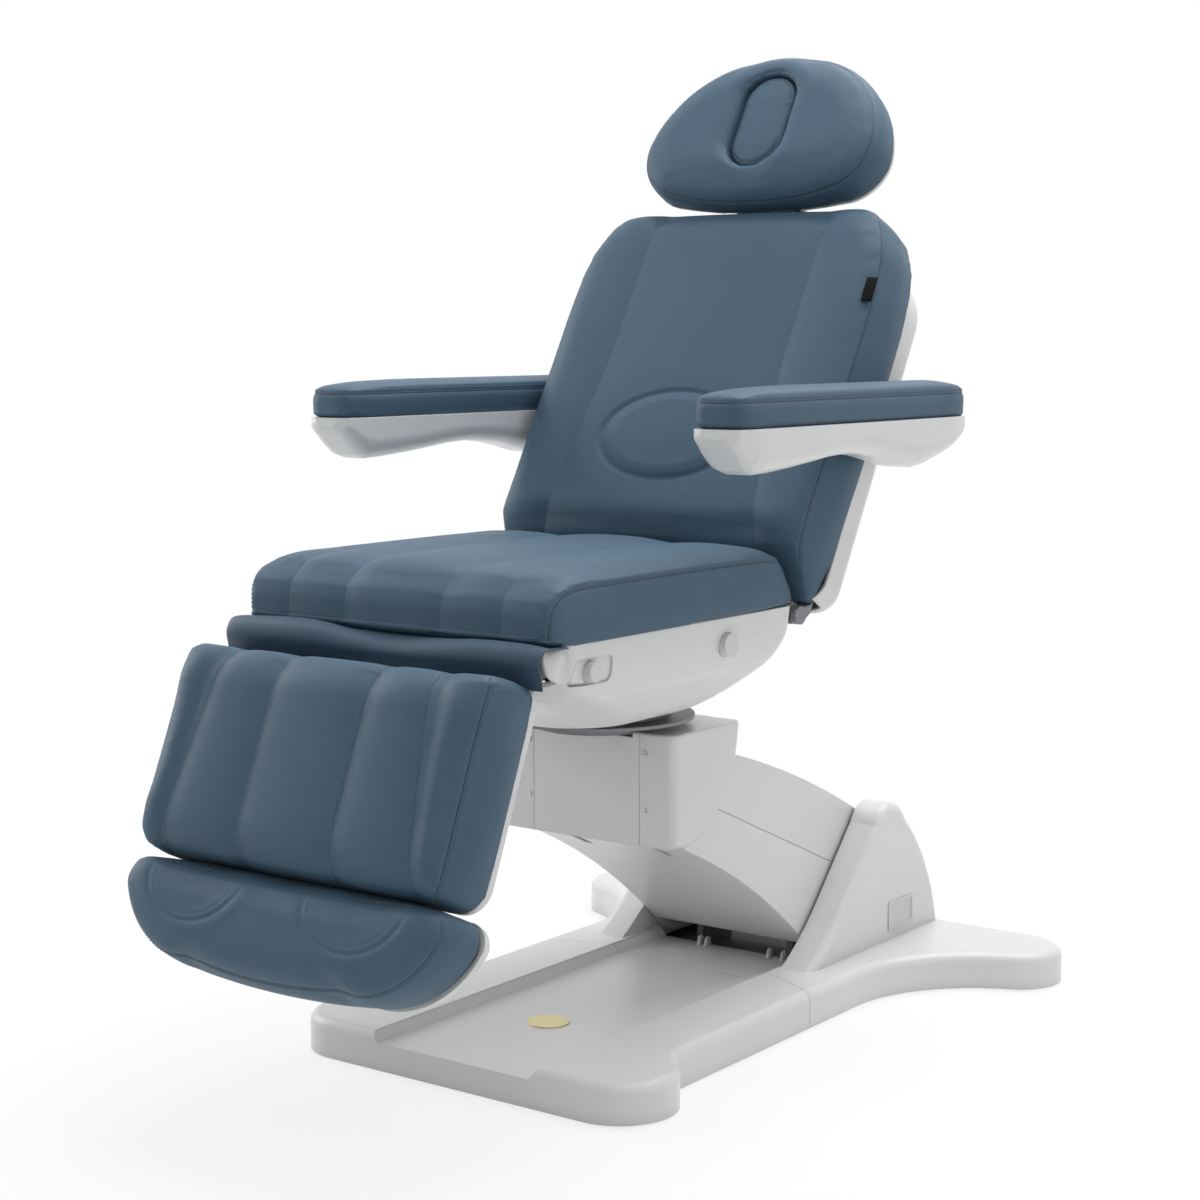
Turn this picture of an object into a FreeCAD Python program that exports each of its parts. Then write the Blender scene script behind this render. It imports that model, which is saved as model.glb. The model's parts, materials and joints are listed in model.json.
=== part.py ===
import FreeCAD, Part
import math
import os

# Electric treatment chair on a four-lobed floor base. Millimetres, +Z up, +Y towards the head end.
# The origin is on the floor under the swivel axis. The chair is modelled in the posture of the
# photograph: seat level, back panel raised, leg panel hanging, lift arm part way up.

V = FreeCAD.Vector
X_AXIS = V(1, 0, 0)

SIZES = (
    # Fits shared by all pieces
    ("seat_gap", 0.3), ("running_gap", 0.05), ("press_gap", 0.02), ("frame_gap", 0.5),
    # Floor base covers: lobes, necks and deck
    ("base_front", 350), ("front_lobe_x", 236), ("front_lobe_r", 85), ("front_neck_r", 50),
    ("waist_x", 265), ("rear_neck_r", 250), ("rear_lobe_x", 392),
    ("rear_lobe_y", 650), ("rear_lobe_r", 78), ("base_low", 3), ("base_top", 60),
    ("base_round", 16), ("base_wall", 5), ("tray_half", 150), ("tray_z", 44), ("seam_mid_y", 255),
    ("seam_side_y", 200), ("seam_gap", 0.6), ("emblem_r", 32), ("emblem_t", 1.5), ("emblem_y", -120),
    # Towers beside the lift arm
    ("tower_in", "=arm_half + 5"), ("tower_out", "=arm_half + 60"), ("tower_front_y", 258),
    ("tower_knee_y", 400), ("tower_knee_z", 150), ("tower_shoulder_y", 505), ("tower_shoulder_z", 262),
    ("tower_top_y", 548), ("tower_top_z", 292), ("tower_back_y", 602), ("tower_rear_y", 724),
    ("tower_round", 14), ("well_front", 395), ("rear_wall_y", 640), ("rear_wall_z", 230),
        ("rear_wall_t", 12),
    ("plate_y", 582), ("plate_z", 101), ("plate_w", 84), ("plate_h", 50), ("plate_rim", 6),
    # Steel chassis
    ("chassis_t", 8), ("pad_r", 26), ("pad_h", 6), ("bracket_in", 84), ("bracket_t", 12),
    ("bracket_foot", 8), ("bracket_half", 45),
    # Lift linkage: main arm pivots, link drop and shafts
    ("arm_low_y", 470), ("arm_low_z", 185), ("arm_high_y", 70), ("arm_high_z", 400), ("link_drop", 66),
    ("main_shaft_r", 15), ("link_shaft_r", 10), ("arm_plate_in", 52), ("arm_plate_t", 18),
    ("arm_plate_r", 30), ("hub_r", 23), ("link_in", 34), ("link_t", 10), ("link_r", 14.5),
    ("stud_r", 8), ("arm_half", 152), ("arm_wall", 4), ("arm_head_rise", 52), ("arm_foot_rise", 112),
    ("arm_head_drop", 110), ("arm_foot_drop", 145), ("arm_top_bow", 12), ("arm_low_bow", 20),
    # Lift drive
    ("lift_pin_rise", 46), ("lift_pin_r", 8), ("lift_barrel_r", 27), ("lift_rod_r", 10),
    ("lift_eye_r", 17), ("lift_eye_play", 8),
    # Column head under the turntable
    ("hood_front", 25), ("hood_rear", 161), ("hood_half", "=arm_half + 10"), ("hood_low", 310),
        ("hood_top", 475),
    ("hood_wall", 4), ("hood_side", 8), ("hood_skin", 3), ("hood_split", 100), ("hood_round", 14),
    ("head_plate_t", 5), ("lug_t", 12), ("screw_r", 4.5), ("screw_high", 452), ("screw_low", 365),
    ("table_r", 151), ("table_z", 496), ("table_t", 5), ("spigot_r", 40), ("ring_r", 115), ("ring_t", 12),
    # Seat tilt
    ("tilt_y", 0), ("tilt_z", 575), ("tilt_r", 10), ("tilt_in", 60), ("tilt_motor_y", -90),
    ("tilt_motor_r", 22), ("tilt_rod_r", 8),
    # Seat board, pan and cushion
    ("board_t", 7.5), ("board_front", 395), ("board_rear", 100), ("pan_half", "=seat_half - 11"),
        ("pan_wall", 5),
    ("pan_front", 440), ("pan_rear", 146), ("pan_low", 522), ("cap_y", -48), ("cap_z", 632),
    ("cap_r", 17), ("knob_y", -374), ("knob_r", 14), ("cap_proud", 7), ("seat_half", 281),
    ("seat_front", 477), ("seat_rear", 148), ("seat_lean", 47), ("seat_z", 672), ("seat_h", 86),
    ("seat_channel", 105),
    # Leg panel, in its own flat frame at the leg hinge
    ("leg_hinge_y", -466), ("leg_hinge_z", 632), ("leg_angle", 67.5), ("leg_half", "=seat_half - 3"),
        ("leg_top", 25),
    ("leg_len", 294), ("leg_pad_over", 7), ("leg_pad_z", 19), ("leg_pad_t", 105),
    ("leg_lug_in", "=seat_half - 59"), ("leg_shaft_r", 12),
    ("leg_lever", 50), ("leg_tube_x", 120), ("leg_tube_r", 12), ("leg_slide_r", 8), ("leg_motor_z", 590),
    ("small_motor_r", 20), ("small_rod_r", 8), ("shell_t", 16), ("shell_wall", 4),
    # Foot panel below the leg panel
    ("foot_gap", 4), ("foot_len", 142), ("foot_half", "=seat_half + 3"), ("foot_pad_t", 101),
    # Back panel, in its own flat frame at the back hinge
    ("back_hinge_y", 162), ("back_hinge_z", 655), ("back_angle", 60), ("back_half", "=seat_half + 19"),
        ("back_low", 18),
    ("back_lean", 53), ("back_len", 671), ("back_pad_z", -8), ("back_pad_t", 109),
        ("back_lug_in", "=seat_half - 41"),
    ("back_lever", 45), ("back_lever_x", 110), ("back_shell_t", 60), ("back_shell_top", 626),
    ("back_motor_z", 616), ("back_channel_low", 205), ("back_channel_high", 165),
    ("head_tube_x", 80), ("head_tube_r", 14), ("head_rod_r", 9),
    # Headrest, in the back panel's frame
    ("head_low", 677), ("head_high", 950), ("head_half", 225), ("head_pad_z", 55), ("head_pad_t", 80),
    ("head_hinge", 700), ("head_hinge_z", 22), ("plug_half", 50), ("plug_len", 178), ("plug_gap", 0.8),
    # Armrests
    ("rest_x", "=seat_half + 72"), ("rest_half", 47), ("rest_front", 212), ("rest_rear", 446),
        ("rest_z", 948),
    ("rest_pad_t", 50), ("rest_pin_y", 357), ("rest_pin_z", 918), ("rest_pin_r", 12),
    ("front_bulge", 64), ("waist_bulge", 45), ("rear_bulge", 74),
    # Cloth flap between the seat and the leg panel
    ("flap_half", "=seat_half + 1"), ("flap_t", 3), ("flap_reach", 30),
)

doc = FreeCAD.newDocument("TreatmentChair")
sheet = doc.addObject("Spreadsheet::Sheet", "Sizes")
for row, (alias, value) in enumerate(SIZES, 1):
    sheet.set(f"A{row}", alias)
    sheet.setAlias(f"B{row}", alias)
for row, (alias, value) in enumerate(SIZES, 1):
    sheet.set(f"B{row}", str(value))
doc.recompute()
NAMES = sorted((alias for alias, value in SIZES), key=len, reverse=True)
NODES = []


class Values:
    """The sheet's numbers, read once for the shapes that are worked out in code."""


S = Values()
for alias in NAMES:
    setattr(S, alias, float(sheet.get(alias)))


def bind(thing, prop, text):
    """Binds a property to a formula of sheet names."""
    words = text.replace("(", " ( ").replace(")", " ) ").split()
    thing.setExpression(prop, " ".join("Sizes." + w if w in NAMES else w for w in words))


def node(thing, label):
    """Names a finished piece and lists it for export."""
    thing.Label = label
    NODES.append(thing)
    return thing


def solid(label, shape, placement=None):
    """A piece whose shape is worked out here."""
    thing = doc.addObject("Part::Feature", label)
    thing.Shape = shape
    if placement is not None:
        thing.Placement = placement
    return thing


def box(name, low, size, place=None):
    """A box from formulas for its low corner and its three sides."""
    thing = doc.addObject("Part::Box", name)
    for prop, text in zip(("Length", "Width", "Height"), size):
        bind(thing, prop, text)
    for prop, text in zip("xyz", low):
        bind(thing, "Placement.Base." + prop, text)
    return thing


def rod(name, axis, start, radius, length):
    """A cylinder along X, Y or Z from formulas for its start, radius and length."""
    thing = doc.addObject("Part::Cylinder", name)
    turn = {"x": (V(0, 1, 0), 90), "y": (V(1, 0, 0), -90), "z": (V(0, 0, 1), 0)}[axis]
    thing.Placement = FreeCAD.Placement(V(), FreeCAD.Rotation(*turn))
    for prop, text in zip("xyz", start):
        bind(thing, "Placement.Base." + prop, text)
    bind(thing, "Radius", radius)
    bind(thing, "Height", length)
    return thing


def joined(name, pieces, placement=None):
    thing = doc.addObject("Part::MultiFuse", name)
    thing.Shapes = pieces
    if placement is not None:
        thing.Placement = placement
    return thing


def cut(name, base, tools, placement=None):
    thing = doc.addObject("Part::Cut", name)
    thing.Base = base
    thing.Tool = tools[0] if len(tools) == 1 else joined(name + "_tools", tools)
    if placement is not None:
        thing.Placement = placement
    return thing


def mirrored(name, source):
    thing = doc.addObject("Part::Mirroring", name)
    thing.Source = source
    thing.Normal = X_AXIS
    return thing


def both(name, source):
    """A piece and its mirror image, as a pair of separate solids."""
    pair = doc.addObject("Part::Compound", name)
    pair.Links = [source, mirrored(name + "_left", source)]
    return pair


def steps_to_edges(start, steps):
    """Edges from a start point: one point is a line, two points are an arc through the first."""
    edges = []
    here = V(start[0], start[1], 0)
    for step in steps:
        points = [V(p[0], p[1], 0) for p in step]
        edges.append(Part.LineSegment(here, points[0]) if len(points) == 1 else Part.Arc(here, *points))
        here = points[-1]
    return edges


def sketch(body, name, role, loops, lift="0"):
    """A sketch on one of the body's own planes, lifted along the plane's normal."""
    drawn = body.newObject("Sketcher::SketchObject", name)
    plane = [f for f in body.Origin.OriginFeatures if f.Role == role][0]
    drawn.AttachmentSupport = [(plane, "")]
    drawn.MapMode = "FlatFace"
    bind(drawn, "AttachmentOffset.Base.z", lift)
    for edges in loops:
        for edge in edges:
            drawn.addGeometry(edge)
    return drawn


def padded_plate(name, role, loops, lift, length):
    """A body padded from one sketch of an outline and its holes."""
    body = doc.addObject("PartDesign::Body", name)
    pad = body.newObject("PartDesign::Pad", name + "_pad")
    pad.Profile = sketch(body, name + "_sketch", role, loops, lift)
    bind(pad, "Length", length)
    return body


def circle(y, z, radius):
    return [Part.Circle(V(y, z, 0), V(0, 0, 1), radius)]


def stadium(first, r_first, second, r_second):
    """The hull of two circles, as two tangent lines and two arcs."""
    dy = second[0] - first[0]
    dz = second[1] - first[1]
    heading = math.atan2(dz, dy)
    side = math.acos((r_first - r_second) / math.hypot(dy, dz))

    def on(centre, radius, angle):
        return centre[0] + radius * math.cos(angle), centre[1] + radius * math.sin(angle)

    start = on(first, r_first, heading + side)
    steps = [
        (on(first, r_first, heading + math.pi), on(first, r_first, heading - side)),
        (on(second, r_second, heading - side),),
        (on(second, r_second, heading), on(second, r_second, heading + side)),
        (start,),
    ]
    return steps_to_edges(start, steps)


def flat_frame(y, z, angle):
    """Where a panel's flat frame stands: its hinge, turned up by its angle."""
    return FreeCAD.Placement(V(0, y, z), FreeCAD.Rotation(X_AXIS, angle))


def face_of(edges):
    return Part.Face(Part.Wire([e.toShape() for e in edges]))


def fair(rows, parts=3):
    """Rows filled in between with smooth steps that never overshoot; the first value is the position."""
    keys = [row[0] for row in rows]
    filled = []
    columns = []
    for column in zip(*rows):
        rise = [(b - a) / (k1 - k0) for a, b, k0, k1 in zip(column, column[1:], keys, keys[1:])]
        slopes = [rise[0]]
        for before, after in zip(rise, rise[1:]):
            slopes.append(0 if before * after <= 0 else 2 * before * after / (before + after))
        columns.append((column, slopes + [rise[-1]]))
    for index in range(len(rows) - 1):
        gap = keys[index + 1] - keys[index]
        for part in range(parts):
            t = part / parts
            row = []
            for column, slopes in columns:
                a, b = column[index], column[index + 1]
                m, n = gap * slopes[index], gap * slopes[index + 1]
                low = (1 + 2 * t) * (1 - t) ** 2 * a + t * (1 - t) ** 2 * m
                row.append(low + t * t * (3 - 2 * t) * b + t * t * (t - 1) * n)
            filled.append(tuple(row))
    return filled + [tuple(rows[-1])]


def ruled(wires):
    """A solid run through sections with straight rules between neighbours."""
    return Part.makeLoft(wires, True, True)


LEG = flat_frame(S.leg_hinge_y, S.leg_hinge_z, S.leg_angle)
BACK = flat_frame(S.back_hinge_y, S.back_hinge_z, S.back_angle)
ARM_LOW = (S.arm_low_y, S.arm_low_z)
ARM_HIGH = (S.arm_high_y, S.arm_high_z)
LINK_LOW = (S.arm_low_y, S.arm_low_z - S.link_drop)
LINK_HIGH = (S.arm_high_y, S.arm_high_z - S.link_drop)


# Floor base

def lobe_neck(lobe, lobe_r, wall_x, neck_r, side):
    """The neck arc between a round lobe and the waist: its start, middle and end."""
    reach = lobe_r + neck_r
    across = wall_x + neck_r - lobe[0]
    along = math.sqrt(reach ** 2 - across ** 2)
    centre_y = lobe[1] + side * along
    leave = (lobe[0] + across * lobe_r / reach, lobe[1] + side * along * lobe_r / reach)
    half = math.radians(180) - math.acos(across / reach) / 2
    middle = (wall_x + neck_r + neck_r * math.cos(half), centre_y - side * neck_r * math.sin(half))
    return leave, middle, (wall_x, centre_y)


def base_outline(inset):
    """The base's plan outline, drawn in by an inset."""
    front_r = S.front_lobe_r - inset
    rear_r = S.rear_lobe_r - inset
    front = (S.front_lobe_x, S.front_lobe_r - S.base_front)
    rear = (S.rear_lobe_x, S.rear_lobe_y)
    leave_f, mid_f, waist_f = lobe_neck(front, front_r, S.waist_x - inset, S.front_neck_r + inset, 1)
    leave_r, mid_r, waist_r = lobe_neck(rear, rear_r, S.waist_x - inset, S.rear_neck_r + inset, -1)
    right = [
        ((front[0], front[1] - front_r),),
        ((front[0] + front_r * math.cos(0.6), front[1] - front_r * math.sin(0.6)), leave_f),
        (mid_f, waist_f),
        (waist_r,),
        (mid_r, leave_r),
        ((rear[0] + rear_r, rear[1]), (rear[0], rear[1] + rear_r)),
    ]
    start = (0, front[1] - front_r)
    points = [start] + [step[-1] for step in right]
    left = []
    for index in range(len(right) - 1, -1, -1):
        target = points[index]
        via = right[index][:-1]
        left.append(tuple((-p[0], p[1]) for p in via) + ((-target[0], target[1]),))
    return steps_to_edges(start, right + [((-rear[0], rear[1] + rear_r),)] + left)


def seam_block(side):
    """The plan region in front of (-1) or behind (+1) the seam between the two base covers."""
    shift = side * S.seam_gap / 2
    far = side * 2 * S.base_front + side * S.rear_lobe_y
    wide = 2 * S.rear_lobe_x
    edge = S.waist_x
    points = [(-wide, S.seam_side_y), (-edge, S.seam_side_y), (-S.tray_half, S.seam_mid_y)]
    points += [(-x, y) for x, y in reversed(points)]
    points = [(x, y + shift) for x, y in points] + [(wide, far), (-wide, far)]
    loop = steps_to_edges(points[0], [(p,) for p in points[1:] + points[:1]])
    return face_of(loop).extrude(V(0, 0, 2 * S.tower_top_z))


def base_block():
    """The rounded base block with its tray, hollowed from below."""
    outer = face_of(base_outline(0)).extrude(V(0, 0, S.base_top - S.base_low))
    outer.translate(V(0, 0, S.base_low))
    top = [e for e in outer.Edges if e.BoundBox.ZMin > S.base_top - 0.01]
    outer = outer.makeFillet(S.base_round, top)
    tray_len = S.base_front + S.well_front
    tray = Part.makeBox(2 * S.tray_half, 2 * tray_len, S.base_top,
            V(-S.tray_half, -tray_len - S.base_front, S.tray_z))
    top_edges = [e for e in tray.Edges if abs(e.BoundBox.ZMax - S.tray_z) < 0.01]
    tray_edges = [e for e in top_edges if e.BoundBox.YLength > tray_len]
    tray = tray.makeChamfer(S.base_top - S.tray_z - 2, S.base_top - S.tray_z - 6, tray_edges)
    hollow = face_of(base_outline(S.base_wall)).extrude(V(0, 0, S.tray_z - S.base_wall))
    return outer.cut(tray).cut(hollow)


def tower_outline():
    front = (S.tower_front_y, S.tray_z)
    rear = (S.tower_rear_y, S.tray_z)
    mid_rear = (S.tower_back_y + 0.66 * (S.tower_rear_y - S.tower_back_y), 0.62 * S.tower_shoulder_z)
    knee = (S.tower_knee_y, S.tower_knee_z)
    flare = (0.5 * (front[0] + knee[0]) + 5, 0.5 * (front[1] + knee[1]) - 7)
    return steps_to_edges(front, [
        (flare, knee),
        ((S.tower_shoulder_y, S.tower_shoulder_z),),
        ((S.tower_top_y, S.tower_top_z), (S.tower_back_y, S.tower_shoulder_z)),
        (mid_rear, rear),
        (front,),
    ])


def stand_up(shape, x):
    """Turns a shape drawn in plan into the side plane at a given X."""
    shape.Placement = FreeCAD.Placement(V(x, 0, 0), FreeCAD.Rotation(V(1, 1, 1), 120))
    return shape


def tower(side):
    """One hollow tower with a rounded outer edge."""
    wide = S.tower_out - S.tower_in
    outer = stand_up(face_of(tower_outline()), S.tower_in).extrude(V(wide, 0, 0))
    rim = [e for e in outer.Edges if e.BoundBox.XMin > S.tower_out - 0.01 and e.BoundBox.ZMax > S.base_top]
    outer = outer.makeFillet(S.tower_round, rim)
    shrunk = face_of(tower_outline()).makeOffset2D(-S.base_wall)
    inner = stand_up(shrunk, S.tower_in + S.base_wall).extrude(V(wide - 2 * S.base_wall, 0, 0))
    inner.translate(V(0, 0, -2 * S.base_wall))
    shell = outer.cut(inner)
    return shell if side > 0 else shell.mirror(V(), X_AXIS)


def base_covers():
    block = base_block()
    front = block.common(seam_block(-1))
    node(solid("base_front_cover", front), "base_front_cover")
    rear = block.common(seam_block(1))
    well = Part.makeBox(2 * S.tower_in, S.rear_wall_y - S.well_front, S.base_top,
            V(-S.tower_in, S.well_front, 0))
    wall = Part.makeBox(2 * S.tower_in + 2 * S.base_wall, S.rear_wall_t,
            S.rear_wall_z - S.tray_z + S.base_wall)
    wall.translate(V(-S.tower_in - S.base_wall, S.rear_wall_y, S.tray_z - S.base_wall))
    rear = rear.cut(well).fuse([tower(1), tower(-1), wall]).removeSplitter()
    inlet = inlet_box(S.seat_gap)
    node(solid("base_rear_cover", rear.cut(inlet)), "base_rear_cover")
    node(solid("power_inlet", inlet_box(0)), "power_inlet")
    emblem = rod("base_emblem", "z", ("0", "emblem_y", "tray_z"), "emblem_r", "emblem_t")
    node(emblem, "base_emblem")


def inlet_box(grow):
    """The mains inlet socket in the rear wall between the towers."""
    wide, high, deep = 28 + 2 * grow, 20 + 2 * grow, S.rear_wall_t + 6
    block = Part.makeBox(wide, deep + grow, high, V(-wide / 2, S.rear_wall_y - 4,
            S.rear_wall_z / 2 - high / 2))
    if grow:
        return block
    recess = Part.makeBox(wide - 6, 10, high - 6, V(3 - wide / 2, S.rear_wall_y + deep - 14,
            S.rear_wall_z / 2 - high / 2 + 3))
    return block.cut(recess)


def chassis():
    plate = padded_plate("chassis_plate", "XY_Plane", [base_outline(S.base_wall + S.frame_gap)], "pad_h",
            "chassis_t")
    node(plate, "chassis_plate")
    floor_z = S.pad_h + S.chassis_t
    half = S.bracket_half
    top = (S.arm_low_y, S.arm_low_z + half)
    edges = steps_to_edges((S.arm_low_y - half, floor_z), [
        ((S.arm_low_y + half, floor_z),),
        ((S.arm_low_y + half, S.arm_low_z),),
        (top, (S.arm_low_y - half, S.arm_low_z)),
        ((S.arm_low_y - half, floor_z),),
    ])
    holes = [circle(*ARM_LOW, S.main_shaft_r + S.press_gap),
            circle(*LINK_LOW, S.link_shaft_r + S.press_gap)]
    cheek = padded_plate("bracket_cheek", "YZ_Plane", [edges] + holes, "bracket_in", "bracket_t")
    foot = box("bracket_base", ("- bracket_in", "arm_low_y - bracket_half", "pad_h + chassis_t"),
               ("2 * bracket_in", "2 * bracket_half", "bracket_foot"))
    node(joined("pivot_bracket", [cheek, mirrored("bracket_cheek_left", cheek), foot]), "pivot_bracket")
    main = rod("main_low", "x", ("- bracket_in - bracket_t", "arm_low_y", "arm_low_z"), "main_shaft_r",
               "2 * ( bracket_in + bracket_t )")
    link = rod("link_low", "x", ("- bracket_in - bracket_t", "arm_low_y", "arm_low_z - link_drop"),
               "link_shaft_r", "2 * ( bracket_in + bracket_t )")
    shafts = doc.addObject("Part::Compound", "lower_shafts")
    shafts.Links = [main, link]
    node(shafts, "lower_shafts")
    front_y = S.front_lobe_r - S.base_front
    pads = doc.addObject("Part::Compound", "base_feet")
    links = []
    for index, (x, y) in enumerate(((S.front_lobe_x, front_y), (S.rear_lobe_x, S.rear_lobe_y))):
        pad = doc.addObject("Part::Cylinder", f"foot_pad_{index}")
        bind(pad, "Radius", "pad_r")
        bind(pad, "Height", "pad_h")
        pad.Placement.Base = V(x, y, 0)
        links += [pad, mirrored(f"foot_pad_{index}_left", pad)]
    pads.Links = links
    node(pads, "base_feet")


# Lift arm, link and drive

ARM_LEN = math.hypot(ARM_LOW[0] - ARM_HIGH[0], ARM_LOW[1] - ARM_HIGH[1])
ALONG = ((ARM_HIGH[0] - ARM_LOW[0]) / ARM_LEN, (ARM_HIGH[1] - ARM_LOW[1]) / ARM_LEN)
ACROSS = (ALONG[1], -ALONG[0])


def arm_point(along, across):
    """A point in the side plane, measured from the arm's low pivot along the arm and square to it."""
    return (ARM_LOW[0] + along * ALONG[0] + across * ACROSS[0],
            ARM_LOW[1] + along * ALONG[1] + across * ACROSS[1])


def lift_arm():
    holes = [circle(*ARM_LOW, S.main_shaft_r + S.running_gap),
            circle(*ARM_HIGH, S.main_shaft_r + S.running_gap)]
    outline = stadium(ARM_LOW, S.arm_plate_r, ARM_HIGH, S.arm_plate_r)
    plate = padded_plate("arm_plate", "YZ_Plane", [outline] + holes, "arm_plate_in", "arm_plate_t")
    tube = padded_plate("arm_hub", "YZ_Plane", [circle(*ARM_LOW, S.hub_r), holes[0]], "- arm_plate_in",
            "2 * arm_plate_in")
    studs = []
    for index, along in enumerate((0.42 * ARM_LEN, 0.74 * ARM_LEN)):
        y, z = arm_point(along, 0)
        stud = doc.addObject("Part::Cylinder", f"cover_stud_{index}")
        bind(stud, "Radius", "stud_r")
        bind(stud, "Height", "arm_half - arm_wall - seat_gap - arm_plate_in")
        stud.Placement = FreeCAD.Placement(V(S.arm_plate_in, y, z), FreeCAD.Rotation(V(0, 1, 0), 90))
        studs.append(stud)
    half = joined("arm_half_frame", [plate] + studs)
    node(joined("lift_arm_frame", [half, mirrored("arm_half_left", half), tube]), "lift_arm_frame")


def arm_outline():
    """The side outline of the arm's covers, round at the head and swollen at the low pivot."""
    top_head = arm_point(ARM_LEN, S.arm_head_rise)
    top_foot = arm_point(0, S.arm_foot_rise)
    low_foot = arm_point(0, -S.arm_foot_drop)
    low_head = arm_point(ARM_LEN, -S.arm_head_drop)
    chin = (ARM_HIGH[0] - 76, ARM_HIGH[1] - 44)
    nose = (ARM_HIGH[0] - 84, ARM_HIGH[1] + 18)
    brow = (ARM_HIGH[0] - 45, ARM_HIGH[1] + 50)
    heel = arm_point(-0.86 * S.arm_foot_drop, -0.2 * S.arm_foot_drop)
    top_mid = arm_point(0.5 * ARM_LEN, 0.5 * (S.arm_head_rise + S.arm_foot_rise) + S.arm_top_bow)
    low_mid = arm_point(0.5 * ARM_LEN, S.arm_low_bow - 0.5 * (S.arm_head_drop + S.arm_foot_drop))
    return steps_to_edges(top_head, [
        (top_mid, top_foot), (heel, low_foot), (low_mid, low_head), (chin, nose), (brow, top_head),
    ])


def arm_covers():
    profile = face_of(arm_outline())
    outer = stand_up(profile, -S.arm_half).extrude(V(2 * S.arm_half, 0, 0))
    inside = face_of(arm_outline()).makeOffset2D(-S.arm_wall)
    inner = stand_up(inside, S.arm_wall - S.arm_half).extrude(V(2 * (S.arm_half - S.arm_wall), 0, 0))
    shell = outer.cut(inner)
    reach = 2 * S.arm_foot_drop
    mouth = [ARM_LOW]
    for angle in (-132, -108, -62, -10):
        turn = math.radians(angle)
        mouth.append((ARM_LOW[0] + reach * math.cos(turn), ARM_LOW[1] + reach * math.sin(turn)))
    opening = face_of(steps_to_edges(mouth[0], [(p,) for p in mouth[1:] + mouth[:1]]))
    opening = stand_up(opening, S.arm_wall - S.arm_half).extrude(V(2 * (S.arm_half - S.arm_wall), 0, 0))
    shell = shell.cut(opening)
    turn = FreeCAD.Placement(V(0, *ARM_LOW), FreeCAD.Rotation(X_AXIS, math.degrees(math.atan2(ALONG[1],
            ALONG[0]))))
    lug_x = S.arm_plate_in + S.arm_plate_t
    for low_x, wide, drop, rise in ((lug_x, S.lug_t + 4, 300, 300),
            (-lug_x - S.lug_t - 4, S.lug_t + 4, 300, 300), (-27, 54, 300, 0)):
        slot = Part.makeBox(wide, 300, drop + rise, V(low_x, ARM_LEN - 78, -drop))
        slot.Placement = turn.multiply(slot.Placement)
        shell = shell.cut(slot)
    split = [arm_point(2 * ARM_LEN, -75), arm_point(ARM_LEN, -30), arm_point(0, 10),
            arm_point(-ARM_LEN, 60)]
    halves = {}
    for name, side in (("arm_cover_upper", 1), ("arm_cover_belly", -1)):
        shift = side * S.seam_gap / 2
        line = [(y, z + shift) for y, z in split]
        far = [(line[-1][0], line[-1][1] + side * 2 * ARM_LEN),
                (line[0][0], line[0][1] + side * 2 * ARM_LEN)]
        region = face_of(steps_to_edges(line[0], [(p,) for p in line[1:] + far + line[:1]]))
        region = stand_up(region, -2 * S.arm_half).extrude(V(4 * S.arm_half, 0, 0))
        halves[name] = shell.common(region)
    for name, shape in halves.items():
        node(solid(name, max(shape.Solids, key=lambda s: s.Volume)), name)


def lift_link():
    holes = [circle(*LINK_LOW, S.link_shaft_r + S.running_gap),
            circle(*LINK_HIGH, S.link_shaft_r + S.running_gap)]
    outline = stadium(LINK_LOW, S.link_r, LINK_HIGH, S.link_r)
    bar = padded_plate("link_bar", "YZ_Plane", [outline] + holes, "link_in", "link_t")
    node(both("lift_link", bar), "lift_link")


LIFT_PIN = (S.arm_high_y, S.arm_high_z + S.lift_pin_rise)
LIFT_LEN = math.hypot(LIFT_PIN[0] - LINK_LOW[0], LIFT_PIN[1] - LINK_LOW[1])
LIFT_FRAME = FreeCAD.Placement(
    V(0, *LINK_LOW),
    FreeCAD.Rotation(X_AXIS, math.degrees(math.atan2(LIFT_PIN[1] - LINK_LOW[1],
            LIFT_PIN[0] - LINK_LOW[0]))),
)


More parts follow.
